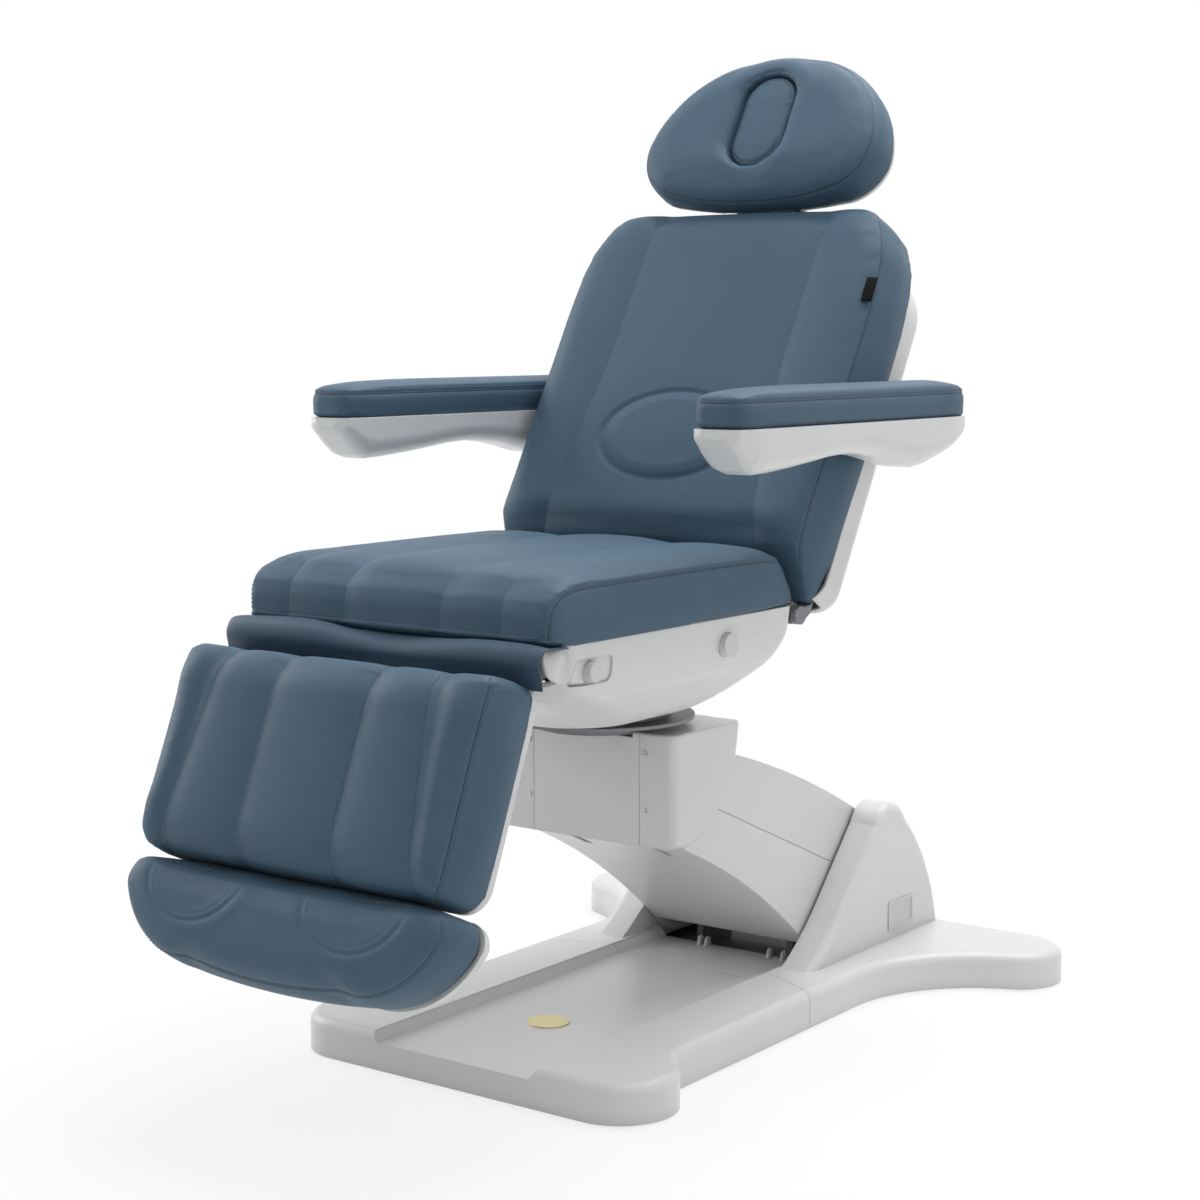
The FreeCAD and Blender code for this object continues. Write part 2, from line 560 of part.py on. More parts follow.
def lift_drive():
    """Diagonal drive from the link's low shaft to a pin above the arm's high shaft; Y runs along it."""
    eye = rod("lift_eye", "x", ("- 14", "0", "0"), "lift_eye_r", "28")
    neck = rod("lift_neck", "y", ("0", "0", "0"), "link_shaft_r + 2", "104")
    barrel = rod("lift_barrel", "y", ("0", "100", "0"), "lift_barrel_r", "230")
    motor = rod("lift_motor_can", "y", ("0", "180", "lift_barrel_r + 18"), "lift_barrel_r - 4", "100")
    whole = joined("lift_motor_body", [eye, neck, barrel, motor])
    bore = rod("lift_bore", "y", ("0", "120", "0"), "lift_rod_r + running_gap", "260")
    hole = rod("lift_eye_bore", "x", ("- 20", "0", "0"), "link_shaft_r + running_gap", "40")
    node(cut("lift_motor", whole, [bore, hole], LIFT_FRAME), "lift_motor")
    stem = doc.addObject("Part::Cylinder", "lift_stem")
    bind(stem, "Radius", "lift_rod_r")
    stem.Height = LIFT_LEN - 190 - S.lift_pin_r - S.lift_eye_play - 3
    stem.Placement = FreeCAD.Placement(V(0, 190, 0), FreeCAD.Rotation(X_AXIS, -90))
    ring = doc.addObject("Part::Cylinder", "lift_rod_eye")
    bind(ring, "Radius", "lift_pin_r + lift_eye_play + 5")
    ring.Height = 24
    ring.Placement = FreeCAD.Placement(V(-12, LIFT_LEN, 0), FreeCAD.Rotation(V(0, 1, 0), 90))
    void = doc.addObject("Part::Cylinder", "lift_rod_eye_bore")
    bind(void, "Radius", "lift_pin_r + lift_eye_play")
    void.Height = 40
    void.Placement = FreeCAD.Placement(V(-20, LIFT_LEN, 0), FreeCAD.Rotation(V(0, 1, 0), 90))
    node(cut("lift_rod", joined("lift_rod_body", [stem, ring]), [void], LIFT_FRAME), "lift_rod")


# Column head and turntable

def column_head():
    plate = box("head_plate", ("- hood_half + hood_wall + 12", "- hood_front + 10", "hood_top"),
                ("2 * ( hood_half - hood_wall - 12 )", "hood_front + hood_rear - 20", "head_plate_t"))
    low = LINK_HIGH[1] - S.link_r - 6
    half = S.arm_plate_r + 4
    edges = steps_to_edges((S.arm_high_y - half, S.hood_top), [
        ((S.arm_high_y - half, LINK_HIGH[1]),),
        ((S.arm_high_y, low), (S.arm_high_y + half, LINK_HIGH[1])),
        ((S.arm_high_y + half, S.hood_top),),
        ((S.arm_high_y - half, S.hood_top),),
    ])
    holes = [circle(*ARM_HIGH, S.main_shaft_r + S.press_gap),
            circle(*LINK_HIGH, S.link_shaft_r + S.press_gap)]
    lug = padded_plate("head_lug", "YZ_Plane", [edges] + holes, "arm_plate_in + arm_plate_t + 2", "lug_t")
    pin_y, pin_z = LIFT_PIN
    ear_edges = steps_to_edges((pin_y - 14, S.hood_top), [
        ((pin_y - 14, pin_z),),
        ((pin_y, pin_z - 14), (pin_y + 14, pin_z)),
        ((pin_y + 14, S.hood_top),),
        ((pin_y - 14, S.hood_top),),
    ])
    ear = padded_plate("lift_ear", "YZ_Plane", [ear_edges], "14", "8")
    pin = rod("lift_pin", "x", ("- 22", "arm_high_y", "arm_high_z + lift_pin_rise"), "lift_pin_r", "44")
    pieces = [plate, lug, mirrored("head_lug_left", lug), ear, mirrored("lift_ear_left", ear), pin]
    node(joined("head_frame", pieces), "head_frame")
    reach = "arm_plate_in + arm_plate_t + 2 + lug_t"
    main = rod("main_high", "x", ("- ( " + reach + " )", "arm_high_y", "arm_high_z"), "main_shaft_r",
            "2 * ( " + reach + " )")
    link = rod("link_high", "x", ("- ( " + reach + " )", "arm_high_y", "arm_high_z - link_drop"),
            "link_shaft_r",
               "2 * ( " + reach + " )")
    shafts = doc.addObject("Part::Compound", "upper_shafts")
    shafts.Links = [main, link]
    node(shafts, "upper_shafts")
    hub = rod("table_hub", "z", ("0", "0", "hood_top + head_plate_t"), "ring_r - 25",
            "table_z - hood_top - head_plate_t")
    disc = rod("table_disc", "z", ("0", "0", "table_z"), "table_r", "table_t")
    bore = rod("table_bore", "z", ("0", "0", "hood_top + head_plate_t - 1"), "spigot_r", "60")
    node(cut("turntable_plate", joined("table_body", [hub, disc]), [bore]), "turntable_plate")


def hood():
    """The head's covers: a front panel and two side lobes that the lift arm moves between."""
    plate_top = S.hood_top + S.head_plate_t + S.seat_gap
    top = plate_top + S.hood_skin
    inner = S.hood_split - S.seam_gap / 2
    depth = S.hood_front + S.hood_rear
    panel = Part.makeBox(2 * inner, depth, top - S.hood_low, V(-inner, -S.hood_front, S.hood_low))
    brow = [e for e in panel.Edges if e.BoundBox.ZMin > top - 0.01 and e.BoundBox.YMax < 0.01 - S.hood_front]
    panel = panel.makeFillet(S.hood_wall, brow)
    space = Part.makeBox(2 * S.hood_half, 2 * depth, plate_top,
            V(-S.hood_half, S.hood_wall - S.hood_front, 0))
    hub_hole = Part.makeCylinder(S.ring_r - 25 + S.frame_gap, S.table_z, V(0, 0, S.hood_top))
    node(solid("head_front_cover", panel.cut(space).cut(hub_hole)), "head_front_cover")
    bend = 0.83 * (top - S.hood_low)
    edges = steps_to_edges((-S.hood_front, S.hood_low), [
        ((S.hood_rear - bend, S.hood_low - 4),),
        ((S.hood_rear - 0.38 * bend, S.hood_low + 0.3 * bend), (S.hood_rear - 4, S.hood_low + bend),),
        ((S.hood_rear, top),),
        ((-S.hood_front, top),),
        ((-S.hood_front, S.hood_low),),
    ])
    block = stand_up(face_of(edges), S.hood_split).extrude(V(S.hood_half - S.hood_split, 0, 0))
    rim = [e for e in block.Edges if e.BoundBox.XMin > S.hood_half - 0.01 and e.BoundBox.ZMin < top - 0.01]
    block = block.makeFillet(S.hood_round, rim)
    brow = [e for e in block.Edges if e.BoundBox.ZMin > top - 0.01 and e.BoundBox.XMax > S.hood_split + 1]
    brow = [e for e in brow if e.BoundBox.YMin < S.hood_rear - 1]
    block = block.makeFillet(S.hood_wall, brow)
    room = Part.makeBox(S.hood_half - S.hood_side, 2 * depth, plate_top,
            V(0, S.hood_wall - S.hood_front, 0))
    shift = S.hood_split + S.seam_gap / 2
    trim = Part.makeBox(shift, 4 * S.hood_rear, 2 * S.hood_top, V(0, -S.hood_rear, 0))
    cover = block.cut(room).cut(trim)
    head_r = S.screw_r
    shank_r = 0.5 * head_r
    screws = []
    for z in (S.screw_high, S.screw_low):
        x = S.hood_split + 2 * head_r
        hole = Part.makeCylinder(shank_r + 0.2, 3 * S.hood_wall, V(x, -S.hood_front - S.hood_wall, z),
                V(0, 1, 0))
        cover = cover.cut(hole)
        cap = Part.makeCylinder(head_r, 2, V(x, -S.hood_front - 2, z), V(0, 1, 0))
        shank = Part.makeCylinder(shank_r, S.hood_wall + 4, V(x, -S.hood_front - 1, z), V(0, 1, 0))
        slot = Part.makeBox(1.2 * head_r, 1.2, 1, V(x - 0.6 * head_r, -S.hood_front - 2.2, z - 0.5))
        screws.append(cap.fuse(shank).cut(slot))
    node(solid("head_side_cover_right", cover), "head_side_cover_right")
    node(solid("head_side_cover_left", cover.mirror(V(), X_AXIS)), "head_side_cover_left")
    screws += [screw.mirror(V(), X_AXIS) for screw in screws]
    node(solid("cover_screws", Part.makeCompound(screws)), "cover_screws")


def swivel():
    ring_z = S.table_z + S.table_t + S.seat_gap
    disc = rod("ring_disc", "z", ("0", "0", "table_z + table_t + seat_gap"), "ring_r", "ring_t")
    spigot = rod("ring_spigot", "z", ("0", "0", "table_z - 4"), "spigot_r - running_gap", "table_t + 6")
    half = 2 * S.tilt_r
    edges = steps_to_edges((S.tilt_y - half - 20, ring_z + 1), [
        ((S.tilt_y + half, ring_z + 1),),
        ((S.tilt_y + half, S.tilt_z),),
        ((S.tilt_y, S.tilt_z + half), (S.tilt_y - half, S.tilt_z)),
        ((S.tilt_y - half - 20, ring_z + 1),),
    ])
    hole = circle(S.tilt_y, S.tilt_z, S.tilt_r + S.press_gap)
    ear = padded_plate("tilt_ear", "YZ_Plane", [edges, hole], "tilt_in", "10")
    node(joined("swivel_ring", [disc, spigot, ear, mirrored("tilt_ear_left", ear)]), "swivel_ring")
    shaft = rod("tilt_shaft", "x", ("- tilt_in - 24", "tilt_y", "tilt_z"), "tilt_r", "2 * ( tilt_in + 24 )")
    node(shaft, "tilt_shaft")
    barrel = rod("tilt_barrel", "z", ("0", "tilt_motor_y", "table_z + table_t + seat_gap + ring_t"),
            "tilt_motor_r", "78")
    bore = rod("tilt_bore", "z", ("0", "tilt_motor_y", "table_z + table_t + ring_t + 12"),
            "tilt_rod_r + running_gap", "90")
    node(cut("tilt_motor", barrel, [bore]), "tilt_motor")
    stem = rod("tilt_rod", "z", ("0", "tilt_motor_y", "table_z + table_t + ring_t + 20"), "tilt_rod_r",
               "seat_z - seat_gap - board_t - frame_gap - table_z - table_t - ring_t - 20")
    node(stem, "tilt_rod")


# Seat

def rounded_rectangle(half, front, rear, radius, z):
    """A rounded rectangle in plan, from -front to rear, at a height."""
    k = radius * (1 - math.sqrt(0.5))
    edges = steps_to_edges((radius - half, -front), [
        ((half - radius, -front),),
        ((half - k, k - front), (half, radius - front)),
        ((half, rear - radius),),
        ((half - k, rear - k), (half - radius, rear)),
        ((radius - half, rear),),
        ((k - half, rear - k), (-half, rear - radius)),
        ((-half, radius - front),),
        ((k - half, k - front), (radius - half, -front)),
    ])
    wire = Part.Wire([e.toShape() for e in edges])
    wire.translate(V(0, 0, z))
    return wire


def pan_loft(inset):
    """The boat-shaped underbody: sections that narrow towards the turntable."""
    top = S.seat_z - S.frame_gap
    depth = top - S.pan_low
    rows = (
        (1.0, 0, 0, 0, 34), (0.76, 2, 4, 3, 36), (0.5, 12, 36, 11, 60), (0.26, 40, 92, 38, 90),
            (0.06, 78, 165, 78, 100),
        (0.0, 100, 190, 98, 90),
    )
    wires = []
    for level, side, front, rear, radius in fair(rows):
        z = S.pan_low + level * depth + (inset * (1 - level) if level < 1 else 0)
        wires.append(rounded_rectangle(S.pan_half - side - inset, S.pan_front - front - inset,
                                       S.pan_rear - rear - inset, radius - 0.5 * inset, z))
    return ruled(wires)


def seat_pan():
    shell = pan_loft(0).cut(pan_loft(S.pan_wall))
    top = S.seat_z
    tools = [
        Part.makeBox(2 * S.pan_half - 4 * S.pan_wall, 60, 90,
                V(2 * S.pan_wall - S.pan_half, -S.pan_front - 40, top - 74)),
        Part.makeBox(60, 200, 70, V(-30, -S.pan_front - 40, S.leg_motor_z - 30)),
        Part.makeCylinder(S.ring_r + 40, 4 * S.pan_wall, V(0, 0, S.pan_low - 2 * S.pan_wall)),
        Part.makeBox(210, 210, 110, V(-105, -130, S.pan_low - 12)),
    ]
    for side in (1, -1):
        low_x = S.back_lug_in - 4 if side > 0 else -S.back_lug_in - 16
        tools.append(Part.makeBox(20, 120, 60, V(low_x, S.board_rear - 15, top - 40)))
        for y, r in ((S.cap_y, S.cap_r), (S.knob_y, S.knob_r)):
            axis = V(side, 0, 0)
            tools.append(Part.makeCylinder(r + S.seat_gap, 60, V(side * (S.pan_half - 50), y, S.cap_z),
                    axis))
    lever = Part.makeBox(44, 110, 110, V(S.back_lever_x - 22, S.pan_rear - 60, S.back_motor_z - 40))
    tools.append(lever)
    for side in (1, -1):
        low_x = S.pan_half - 20 if side > 0 else -S.pan_half - 20
        recess = Part.makeBox(40, 84, 36, V(low_x, S.knob_y - 36, S.cap_z - 18))
        recess = recess.makeFillet(9, [e for e in recess.Edges if e.BoundBox.XLength > 1])
        tools.append(recess.cut(pan_loft(0.6 * S.pan_wall)))
    shell = shell.cut(tools)
    node(solid("seat_pan", max(shell.Solids, key=lambda s: s.Volume)), "seat_pan")
    caps = []
    for y, r in (("cap_y", "cap_r"), ("knob_y", "knob_r")):
        cap = rod(y[:-2] + "_disc", "x", ("pan_half - pan_wall - 14", y, "cap_z"), r,
                "pan_wall + 14 + cap_proud")
        caps += [cap, mirrored(y[:-2] + "_disc_left", cap)]
    group = doc.addObject("Part::Compound", "pan_caps")
    group.Links = caps
    node(group, "pan_caps")


def seat_frame():
    top = S.seat_z - S.seat_gap
    low = top - S.board_t
    board = box("seat_board", ("- pan_half + pan_wall + frame_gap", "- board_front",
            "seat_z - seat_gap - board_t"),
                ("2 * ( pan_half - pan_wall - frame_gap )", "board_front + board_rear", "board_t"))
    r = 2 * S.tilt_r
    tilt_edges = steps_to_edges((S.tilt_y - 2 * r, low + 1), [
        ((S.tilt_y - r, S.tilt_z),),
        ((S.tilt_y, S.tilt_z - r), (S.tilt_y + r, S.tilt_z)),
        ((S.tilt_y + 1.6 * r, low + 1),),
        ((S.tilt_y - 2 * r, low + 1),),
    ])
    hole = circle(S.tilt_y, S.tilt_z, S.tilt_r + S.running_gap)
    tilt_lug = padded_plate("tilt_lug", "YZ_Plane", [tilt_edges, hole], "tilt_in + 12", "10")
    back_lug = hinge_lug("back_lug", S.back_hinge_y, S.back_hinge_z, S.board_rear - 40, low, "back_lug_in")
    leg_lug = hinge_lug("leg_lug", S.leg_hinge_y, S.leg_hinge_z, 40 - S.board_front, low, "leg_lug_in")
    lugs = [tilt_lug, back_lug, leg_lug]
    lugs += [mirrored(lug.Name + "_left", lug) for lug in lugs]
    node(joined("seat_frame", [board] + lugs), "seat_frame")


def hinge_lug(name, y, z, root_y, root_z, lift):
    """A flat lug under the seat board, out to a panel's hinge."""
    r = S.leg_shaft_r + 4
    side = 1 if y > root_y else -1
    edges = steps_to_edges((root_y, root_z + 1), [
        ((root_y, root_z - 14),),
        ((y, z - r),),
        ((y + side * r, z), (y, z + r)),
        ((root_y, root_z + 1),),
    ])
    return padded_plate(name, "YZ_Plane", [edges, circle(y, z, S.leg_shaft_r + S.running_gap)], lift, "12")


def pillow_section(y, half, low, high, inset, crowns, channels):
    """One closed cross section of a cushion: a flat bed, bulging sides and a top of arched panels."""
    edge = half - inset
    mid = 0.5 * (low + high)
    right = [(edge, high)] + [(c, high + dip) for c, dip in channels]
    points = right + [(-x, z) for x, z in reversed(right)]
    edges = [
        Part.LineSegment(V(-edge, y, low), V(edge, y, low)).toShape(),
        Part.Arc(V(edge, y, low), V(half, y, mid), V(edge, y, high)).toShape(),
    ]
    for (x0, z0), (x1, z1), rise in zip(points, points[1:], crowns):
        edges.append(Part.Arc(V(x0, y, z0), V(0.5 * (x0 + x1), y, 0.5 * (z0 + z1) + rise),
                V(x1, y, z1)).toShape())
    edges.append(Part.Arc(V(-edge, y, high), V(-half, y, mid), V(-edge, y, low)).toShape())
    return Part.Wire(edges)


def seat_cushion():
    """Crowned seat pad with a rounded front, a leaning rear face and two shallow sewn channels."""
    high = S.seat_z + S.seat_h
    rear_top = S.seat_rear - S.seat_lean
    rows = (
        (-S.seat_front, 20, 14, 44, 2), (8 - S.seat_front, 8, 4, 22, 3), (34 - S.seat_front, 1, 0, 7, 5),
        (100 - S.seat_front, 0, 0, 0, 7), (-0.3 * S.seat_front, 0, 0, 0, 8), (rear_top - 60, 1, 0, 1, 7),
        (rear_top, 5, 0, 8, 5), (S.seat_rear - 0.45 * S.seat_lean, 10, 0, 36, 3),
            (S.seat_rear, 18, 3, 64, 1),
    )
    wires = []
    for y, narrow, rise, drop, crown in fair(rows):
        half = S.seat_half - narrow
        crowns = (0.6 * crown, crown, 0.6 * crown)
        channel = ((S.seat_channel, 0.3 * crown),)
        wires.append(pillow_section(y, half, S.seat_z + rise, high - drop, 8, crowns, channel))
    node(solid("seat_cushion", ruled(wires)), "seat_cushion")


def seat_flap():
    """The cloth flap that bridges the seat's front edge and the leg panel's top, with its slack folds."""
    start = V(0, 40 - S.seat_front, S.seat_z - S.seat_gap)
    corner = LEG.multVec(V(0, 4 - S.leg_top, S.leg_pad_z + 3))
    wires = []
    for place, slack in ((-1, 0), (-0.6, 4), (-0.25, -7), (0.1, -5), (0.5, 4), (0.8, 2), (1, 0)):
        x = place * S.flap_half
        reach = S.flap_reach + slack
        turn_y = -S.seat_front - reach
        turn_z = S.seat_z - 16 + 0.4 * slack
        outer = [V(x, start.y, start.z), V(x, -S.seat_front, start.z + 1), V(x, turn_y, turn_z),
                V(x, corner.y, corner.z)]
        inner = [p + V(0, 0, -S.flap_t) for p in outer[:2]]
        inner += [V(x, turn_y + S.flap_t, turn_z), V(x, corner.y + S.flap_t, corner.z)]
        lip = 0.5 * (outer[1] + outer[2]) + V(0, 0, 5)
        lip_in = lip + V(0, 0.5 * S.flap_t, -S.flap_t)
        fall = V(x, 0.35 * corner.y + 0.65 * turn_y, 0.55 * corner.z + 0.45 * turn_z)
        fall_in = fall + V(0, S.flap_t, 0)
        wires.append(Part.Wire([
            Part.LineSegment(outer[0], outer[1]).toShape(),
            Part.Arc(outer[1], lip, outer[2]).toShape(),
            Part.Arc(outer[2], fall, outer[3]).toShape(),
            Part.LineSegment(outer[3], inner[3]).toShape(),
            Part.Arc(inner[3], fall_in, inner[2]).toShape(),
            Part.Arc(inner[2], lip_in, inner[1]).toShape(),
            Part.LineSegment(inner[1], inner[0]).toShape(),
            Part.LineSegment(inner[0], outer[0]).toShape(),
        ]))
    node(solid("seat_flap", Part.makeLoft(wires, True, False)), "seat_flap")


def small_drive(name, x, z, tip, direction, lever_pin_r):
    """A drive under the seat board: its barrel and a sliding rod that ends in a slotted fork."""
    back_end = tip - direction * 300
    barrel_len = 160
    low_y = min(back_end, back_end + direction * barrel_len)
    barrel = Part.makeCylinder(S.small_motor_r, barrel_len, V(x, low_y, z), V(0, 1, 0))
    hanger = Part.makeBox(24, 40, S.seat_z - S.seat_gap - S.board_t - S.seat_gap - z,
            V(x - 12, low_y + 60, z))
    bore_start = back_end + direction * 20
    bore = Part.makeCylinder(S.small_rod_r + S.running_gap, barrel_len, V(x, bore_start, z),
            V(0, direction, 0))
    node(solid(name + "_motor", barrel.fuse(hanger).removeSplitter().cut(bore)), name + "_motor")
    stem_start = back_end + direction * 74
    fork_half = lever_pin_r + 9
    web = 36
    stem_len = 300 - 74 - web + 2
    stem = Part.makeCylinder(S.small_rod_r, stem_len, V(x, stem_start, z), V(0, direction, 0))
    fork_y = tip - web if direction > 0 else tip - fork_half
    fork = Part.makeBox(26, web + fork_half, 38, V(x - 13, fork_y, z - 24))
    gap = Part.makeBox(14, web + fork_half - 4, 60, V(x - 7, fork_y + (4 if direction > 0 else 0), z - 30))
    slot = Part.makeBox(40, 2 * lever_pin_r + 4, 27, V(x - 20, tip - lever_pin_r - 2, z - 18))
    node(solid(name + "_rod", stem.fuse(fork).removeSplitter().cut(gap).cut(slot)), name + "_rod")


LEVER_PIN_R = 6
LEG_LEVER_TURN = math.radians(34)
BACK_LEVER_TURN = math.radians(30)


def seat_drives():
    leg_tip = S.leg_hinge_y + S.leg_lever * math.sin(LEG_LEVER_TURN)
    small_drive("leg", 0, S.leg_hinge_z - S.leg_lever * math.cos(LEG_LEVER_TURN), leg_tip, -1, LEVER_PIN_R)
    back_tip = S.back_hinge_y + S.back_lever * math.sin(BACK_LEVER_TURN)
    back_z = S.back_hinge_z - S.back_lever * math.cos(BACK_LEVER_TURN)
    small_drive("back", S.back_lever_x, back_z, back_tip, 1, LEVER_PIN_R)


# Panels in their flat frames

def panel_frame(name, board, shaft_half, lug_x, lug_root, lever, frame):
    """A panel's steel frame: a board, two hinge lugs, the cross shaft and the drive's lever."""
    y0, y1, z0, z1, half = board
    plate = Part.makeBox(2 * half, y1 - y0, z1 - z0, V(-half, y0, z0))
    shape = plate.fuse(Part.makeCylinder(S.leg_shaft_r, 2 * shaft_half, V(-shaft_half, 0, 0), X_AXIS))
    r = S.leg_shaft_r + 4
    near, far = lug_root
    side = 1 if far > 0 else -1
    under = min(-r, z0) - 4 if side > 0 else z0 - 4
    edges = steps_to_edges((0, -r), [
        ((0.5 * near, under),),
        ((far, under),),
        ((far, z0 + 1),),
        ((near, z0 + 1),),
        ((0, r),),
        ((-side * r, 0), (0, -r)),
    ])
    for x in (lug_x, -lug_x - 10):
        shape = shape.fuse(stand_up(face_of(edges), x).extrude(V(10, 0, 0)))
    lever_x, lever_len, lever_turn = lever
    tip = (lever_len * math.cos(lever_turn), lever_len * math.sin(lever_turn))
    arm = stand_up(face_of(stadium((0, 0), S.leg_shaft_r + 3, tip, LEVER_PIN_R + 4)),
            lever_x - 5).extrude(V(10, 0, 0))
    pin = Part.makeCylinder(LEVER_PIN_R, 30, V(lever_x - 15, tip[0], tip[1]), X_AXIS)
    shape = shape.fuse([arm, pin]).removeSplitter()
    node(solid(name, shape, frame), name)


def tray(half, low_y, high_y, low_z, high_z, wall, corners):
    """A shallow tray behind a panel, open towards the cushion, rounded at its far corners."""
    near, far = corners
    k = 1 - math.sqrt(0.5)

    def outline(inset):
        h = half - inset
        a = low_y + inset
        b = high_y - inset
        n = near - inset
        f = far - inset
        return face_of(steps_to_edges((n - h, a), [
            ((h - n, a),), ((h - k * n, a + k * n), (h, a + n)),
            ((h, b - f),), ((h - k * f, b - k * f), (h - f, b)),
            ((f - h, b),), ((k * f - h, b - k * f), (-h, b - f)),
            ((-h, a + n),), ((k * n - h, a + k * n), (n - h, a)),
        ]))

    outer = outline(0).extrude(V(0, 0, high_z - low_z))
    outer.translate(V(0, 0, low_z))
    base = [e for e in outer.Edges if e.BoundBox.ZMax < low_z + 0.01]
    outer = outer.makeFillet(0.4 * (high_z - low_z), base)
    inner = outline(wall).extrude(V(0, 0, high_z - low_z))
    inner.translate(V(0, 0, low_z + wall))
    floor = [e for e in inner.Edges if e.BoundBox.ZMax < low_z + wall + 0.01]
    return outer.cut(inner.makeFillet(0.4 * (high_z - low_z) - wall, floor))


def leg_panel():
    top = -S.leg_top
    low = -S.leg_top - S.leg_len
    rear = S.leg_pad_z - S.seat_gap
    board = (low + 44, top - 38, rear - S.board_t, rear, S.leg_half - 12 - S.shell_wall - S.frame_gap)
    lug_x = S.leg_lug_in + 12 + 2
    lever = (0, S.leg_lever, math.radians(270 - S.leg_angle) + LEG_LEVER_TURN)
    panel_frame("leg_frame", board, lug_x + 10, lug_x, (top - 40, top - 90), lever, LEG)
    shell = tray(S.leg_half - 12, low + 2, top - 4, S.leg_pad_z - S.shell_t, rear, S.shell_wall, (40, 30))
    slots = [Part.makeBox(18, 90, 60, V(x, top - 80, rear - 40)) for x in (lug_x - 4, -lug_x - 14)]
    slots.append(Part.makeBox(60, 70, 60, V(-30, top - 40, rear - 40)))
    node(solid("leg_shell", shell.cut(slots), LEG), "leg_shell")
    tube_z = S.leg_pad_z - S.shell_t - S.seat_gap - S.leg_tube_r
    tubes = []
    for x in (S.leg_tube_x, -S.leg_tube_x):
        length = 0.68 * S.leg_len
        tube = Part.makeCylinder(S.leg_tube_r, length, V(x, low + 4, tube_z), V(0, 1, 0))
        tubes.append(tube.cut(Part.makeCylinder(S.leg_slide_r + S.running_gap, 2 * length,
                V(x, low - 4, tube_z), V(0, 1, 0))))
    node(solid("leg_tubes", Part.makeCompound(tubes), LEG), "leg_tubes")
    z0 = S.leg_pad_z
    z1 = z0 + S.leg_pad_t
    wires = []
    end = top + S.leg_pad_over
    rows = (
        (low, 30, 26, 36, 2), (low + 6, 16, 12, 16, 4), (low + 26, 4, 0, 5, 6), (low + 80, 0, 0, 0, 7),
        (low + 0.6 * S.leg_len, 0, 0, 0, 7), (end - 60, 0, 0, 0, 7), (end - 22, 3, 0, 6, 6),
        (end - 5, 12, 8, 18, 4), (end, 24, 22, 34, 2),
    )
    for y, narrow, rise, drop, crown in fair(rows):
        down = (y - top) / (low - top)
        half = S.leg_half - narrow
        outer = (204 + 22 * down) * (half - 8) / (S.leg_half - 8)
        channels = ((outer, 0.4 * crown - 4), (84, 0.4 * crown - 4))
        wires.append(pillow_section(y, half, z0 + rise, z1 - drop, 8, (crown, crown, crown, crown, crown),
                channels))
    node(solid("leg_cushion", ruled(wires), LEG), "leg_cushion")


def foot_panel():
    top = -S.leg_top - S.leg_len - S.foot_gap
    low = top - S.foot_len
    rear = S.leg_pad_z - S.seat_gap
    tube_z = S.leg_pad_z - S.shell_t - S.seat_gap - S.leg_tube_r
    board = Part.makeBox(2 * (S.foot_half - 90), S.foot_len - 50, S.board_t,
            V(90 - S.foot_half, low + 34, rear - S.board_t))
    pieces = []
    for x in (S.leg_tube_x, -S.leg_tube_x):
        slide_top = top + S.foot_gap + 0.62 * S.leg_len
        slide_low = top - 60
        pieces.append(Part.makeCylinder(S.leg_slide_r, slide_top - slide_low, V(x, slide_low, tube_z),
                V(0, 1, 0)))
        pieces.append(Part.makeBox(12, 40, rear - tube_z - 1, V(x - 6, slide_low + 4, tube_z)))
    node(solid("foot_frame", board.fuse(pieces).removeSplitter(), LEG), "foot_frame")
    sections = foot_outline_rows(top, low)
    shell = foot_loft(sections, S.leg_pad_z - S.shell_t, rear, 6, 2)
    room = foot_loft(sections, S.leg_pad_z - S.shell_t + S.shell_wall, rear + 1, 14, 10)
    slots = [Part.makeBox(16, 60, 60, V(x - 8, top - 64, rear - 55)) for x in (S.leg_tube_x, -S.leg_tube_x)]
    node(solid("foot_shell", shell.cut(room).cut(slots), LEG), "foot_shell")
    z0 = S.leg_pad_z
    layers = ((0.0, 10), (0.16, 2), (0.5, 0), (0.78, 4), (0.94, 16), (1.0, 32))
    wires = []
    for level, inset in fair(layers):
        wires.append(foot_wire(sections, inset, z0 + level * S.foot_pad_t))
    node(solid("foot_cushion", ruled(wires), LEG), "foot_cushion")


def foot_outline_rows(top, low):
    """The half-moon's driving sizes: its straight top, its width and its low edge."""
    return {"top": top, "low": low, "half": S.foot_half}


def foot_wire(rows, inset, z):
    half = rows["half"] - inset
    top = rows["top"] - 0.5 * inset
    low = rows["low"] + inset
    drop = top - low
    edges = steps_to_edges((28 - half, top), [
        ((half - 28, top),),
        ((half - 6, top - 10), (half, top - 34)),
        ((0.86 * half, top - 0.68 * drop), (0.5 * half, low + 0.07 * drop)),
        ((0, low), (-0.5 * half, low + 0.07 * drop)),
        ((-0.86 * half, top - 0.68 * drop), (-half, top - 34)),
        ((6 - half, top - 10), (28 - half, top)),
    ])
    wire = Part.Wire([e.toShape() for e in edges])
    wire.translate(V(0, 0, z))
    return wire


def foot_loft(rows, low_z, high_z, low_inset, high_inset):
    return Part.makeLoft([foot_wire(rows, low_inset, low_z), foot_wire(rows, high_inset, high_z)], True,
            True)


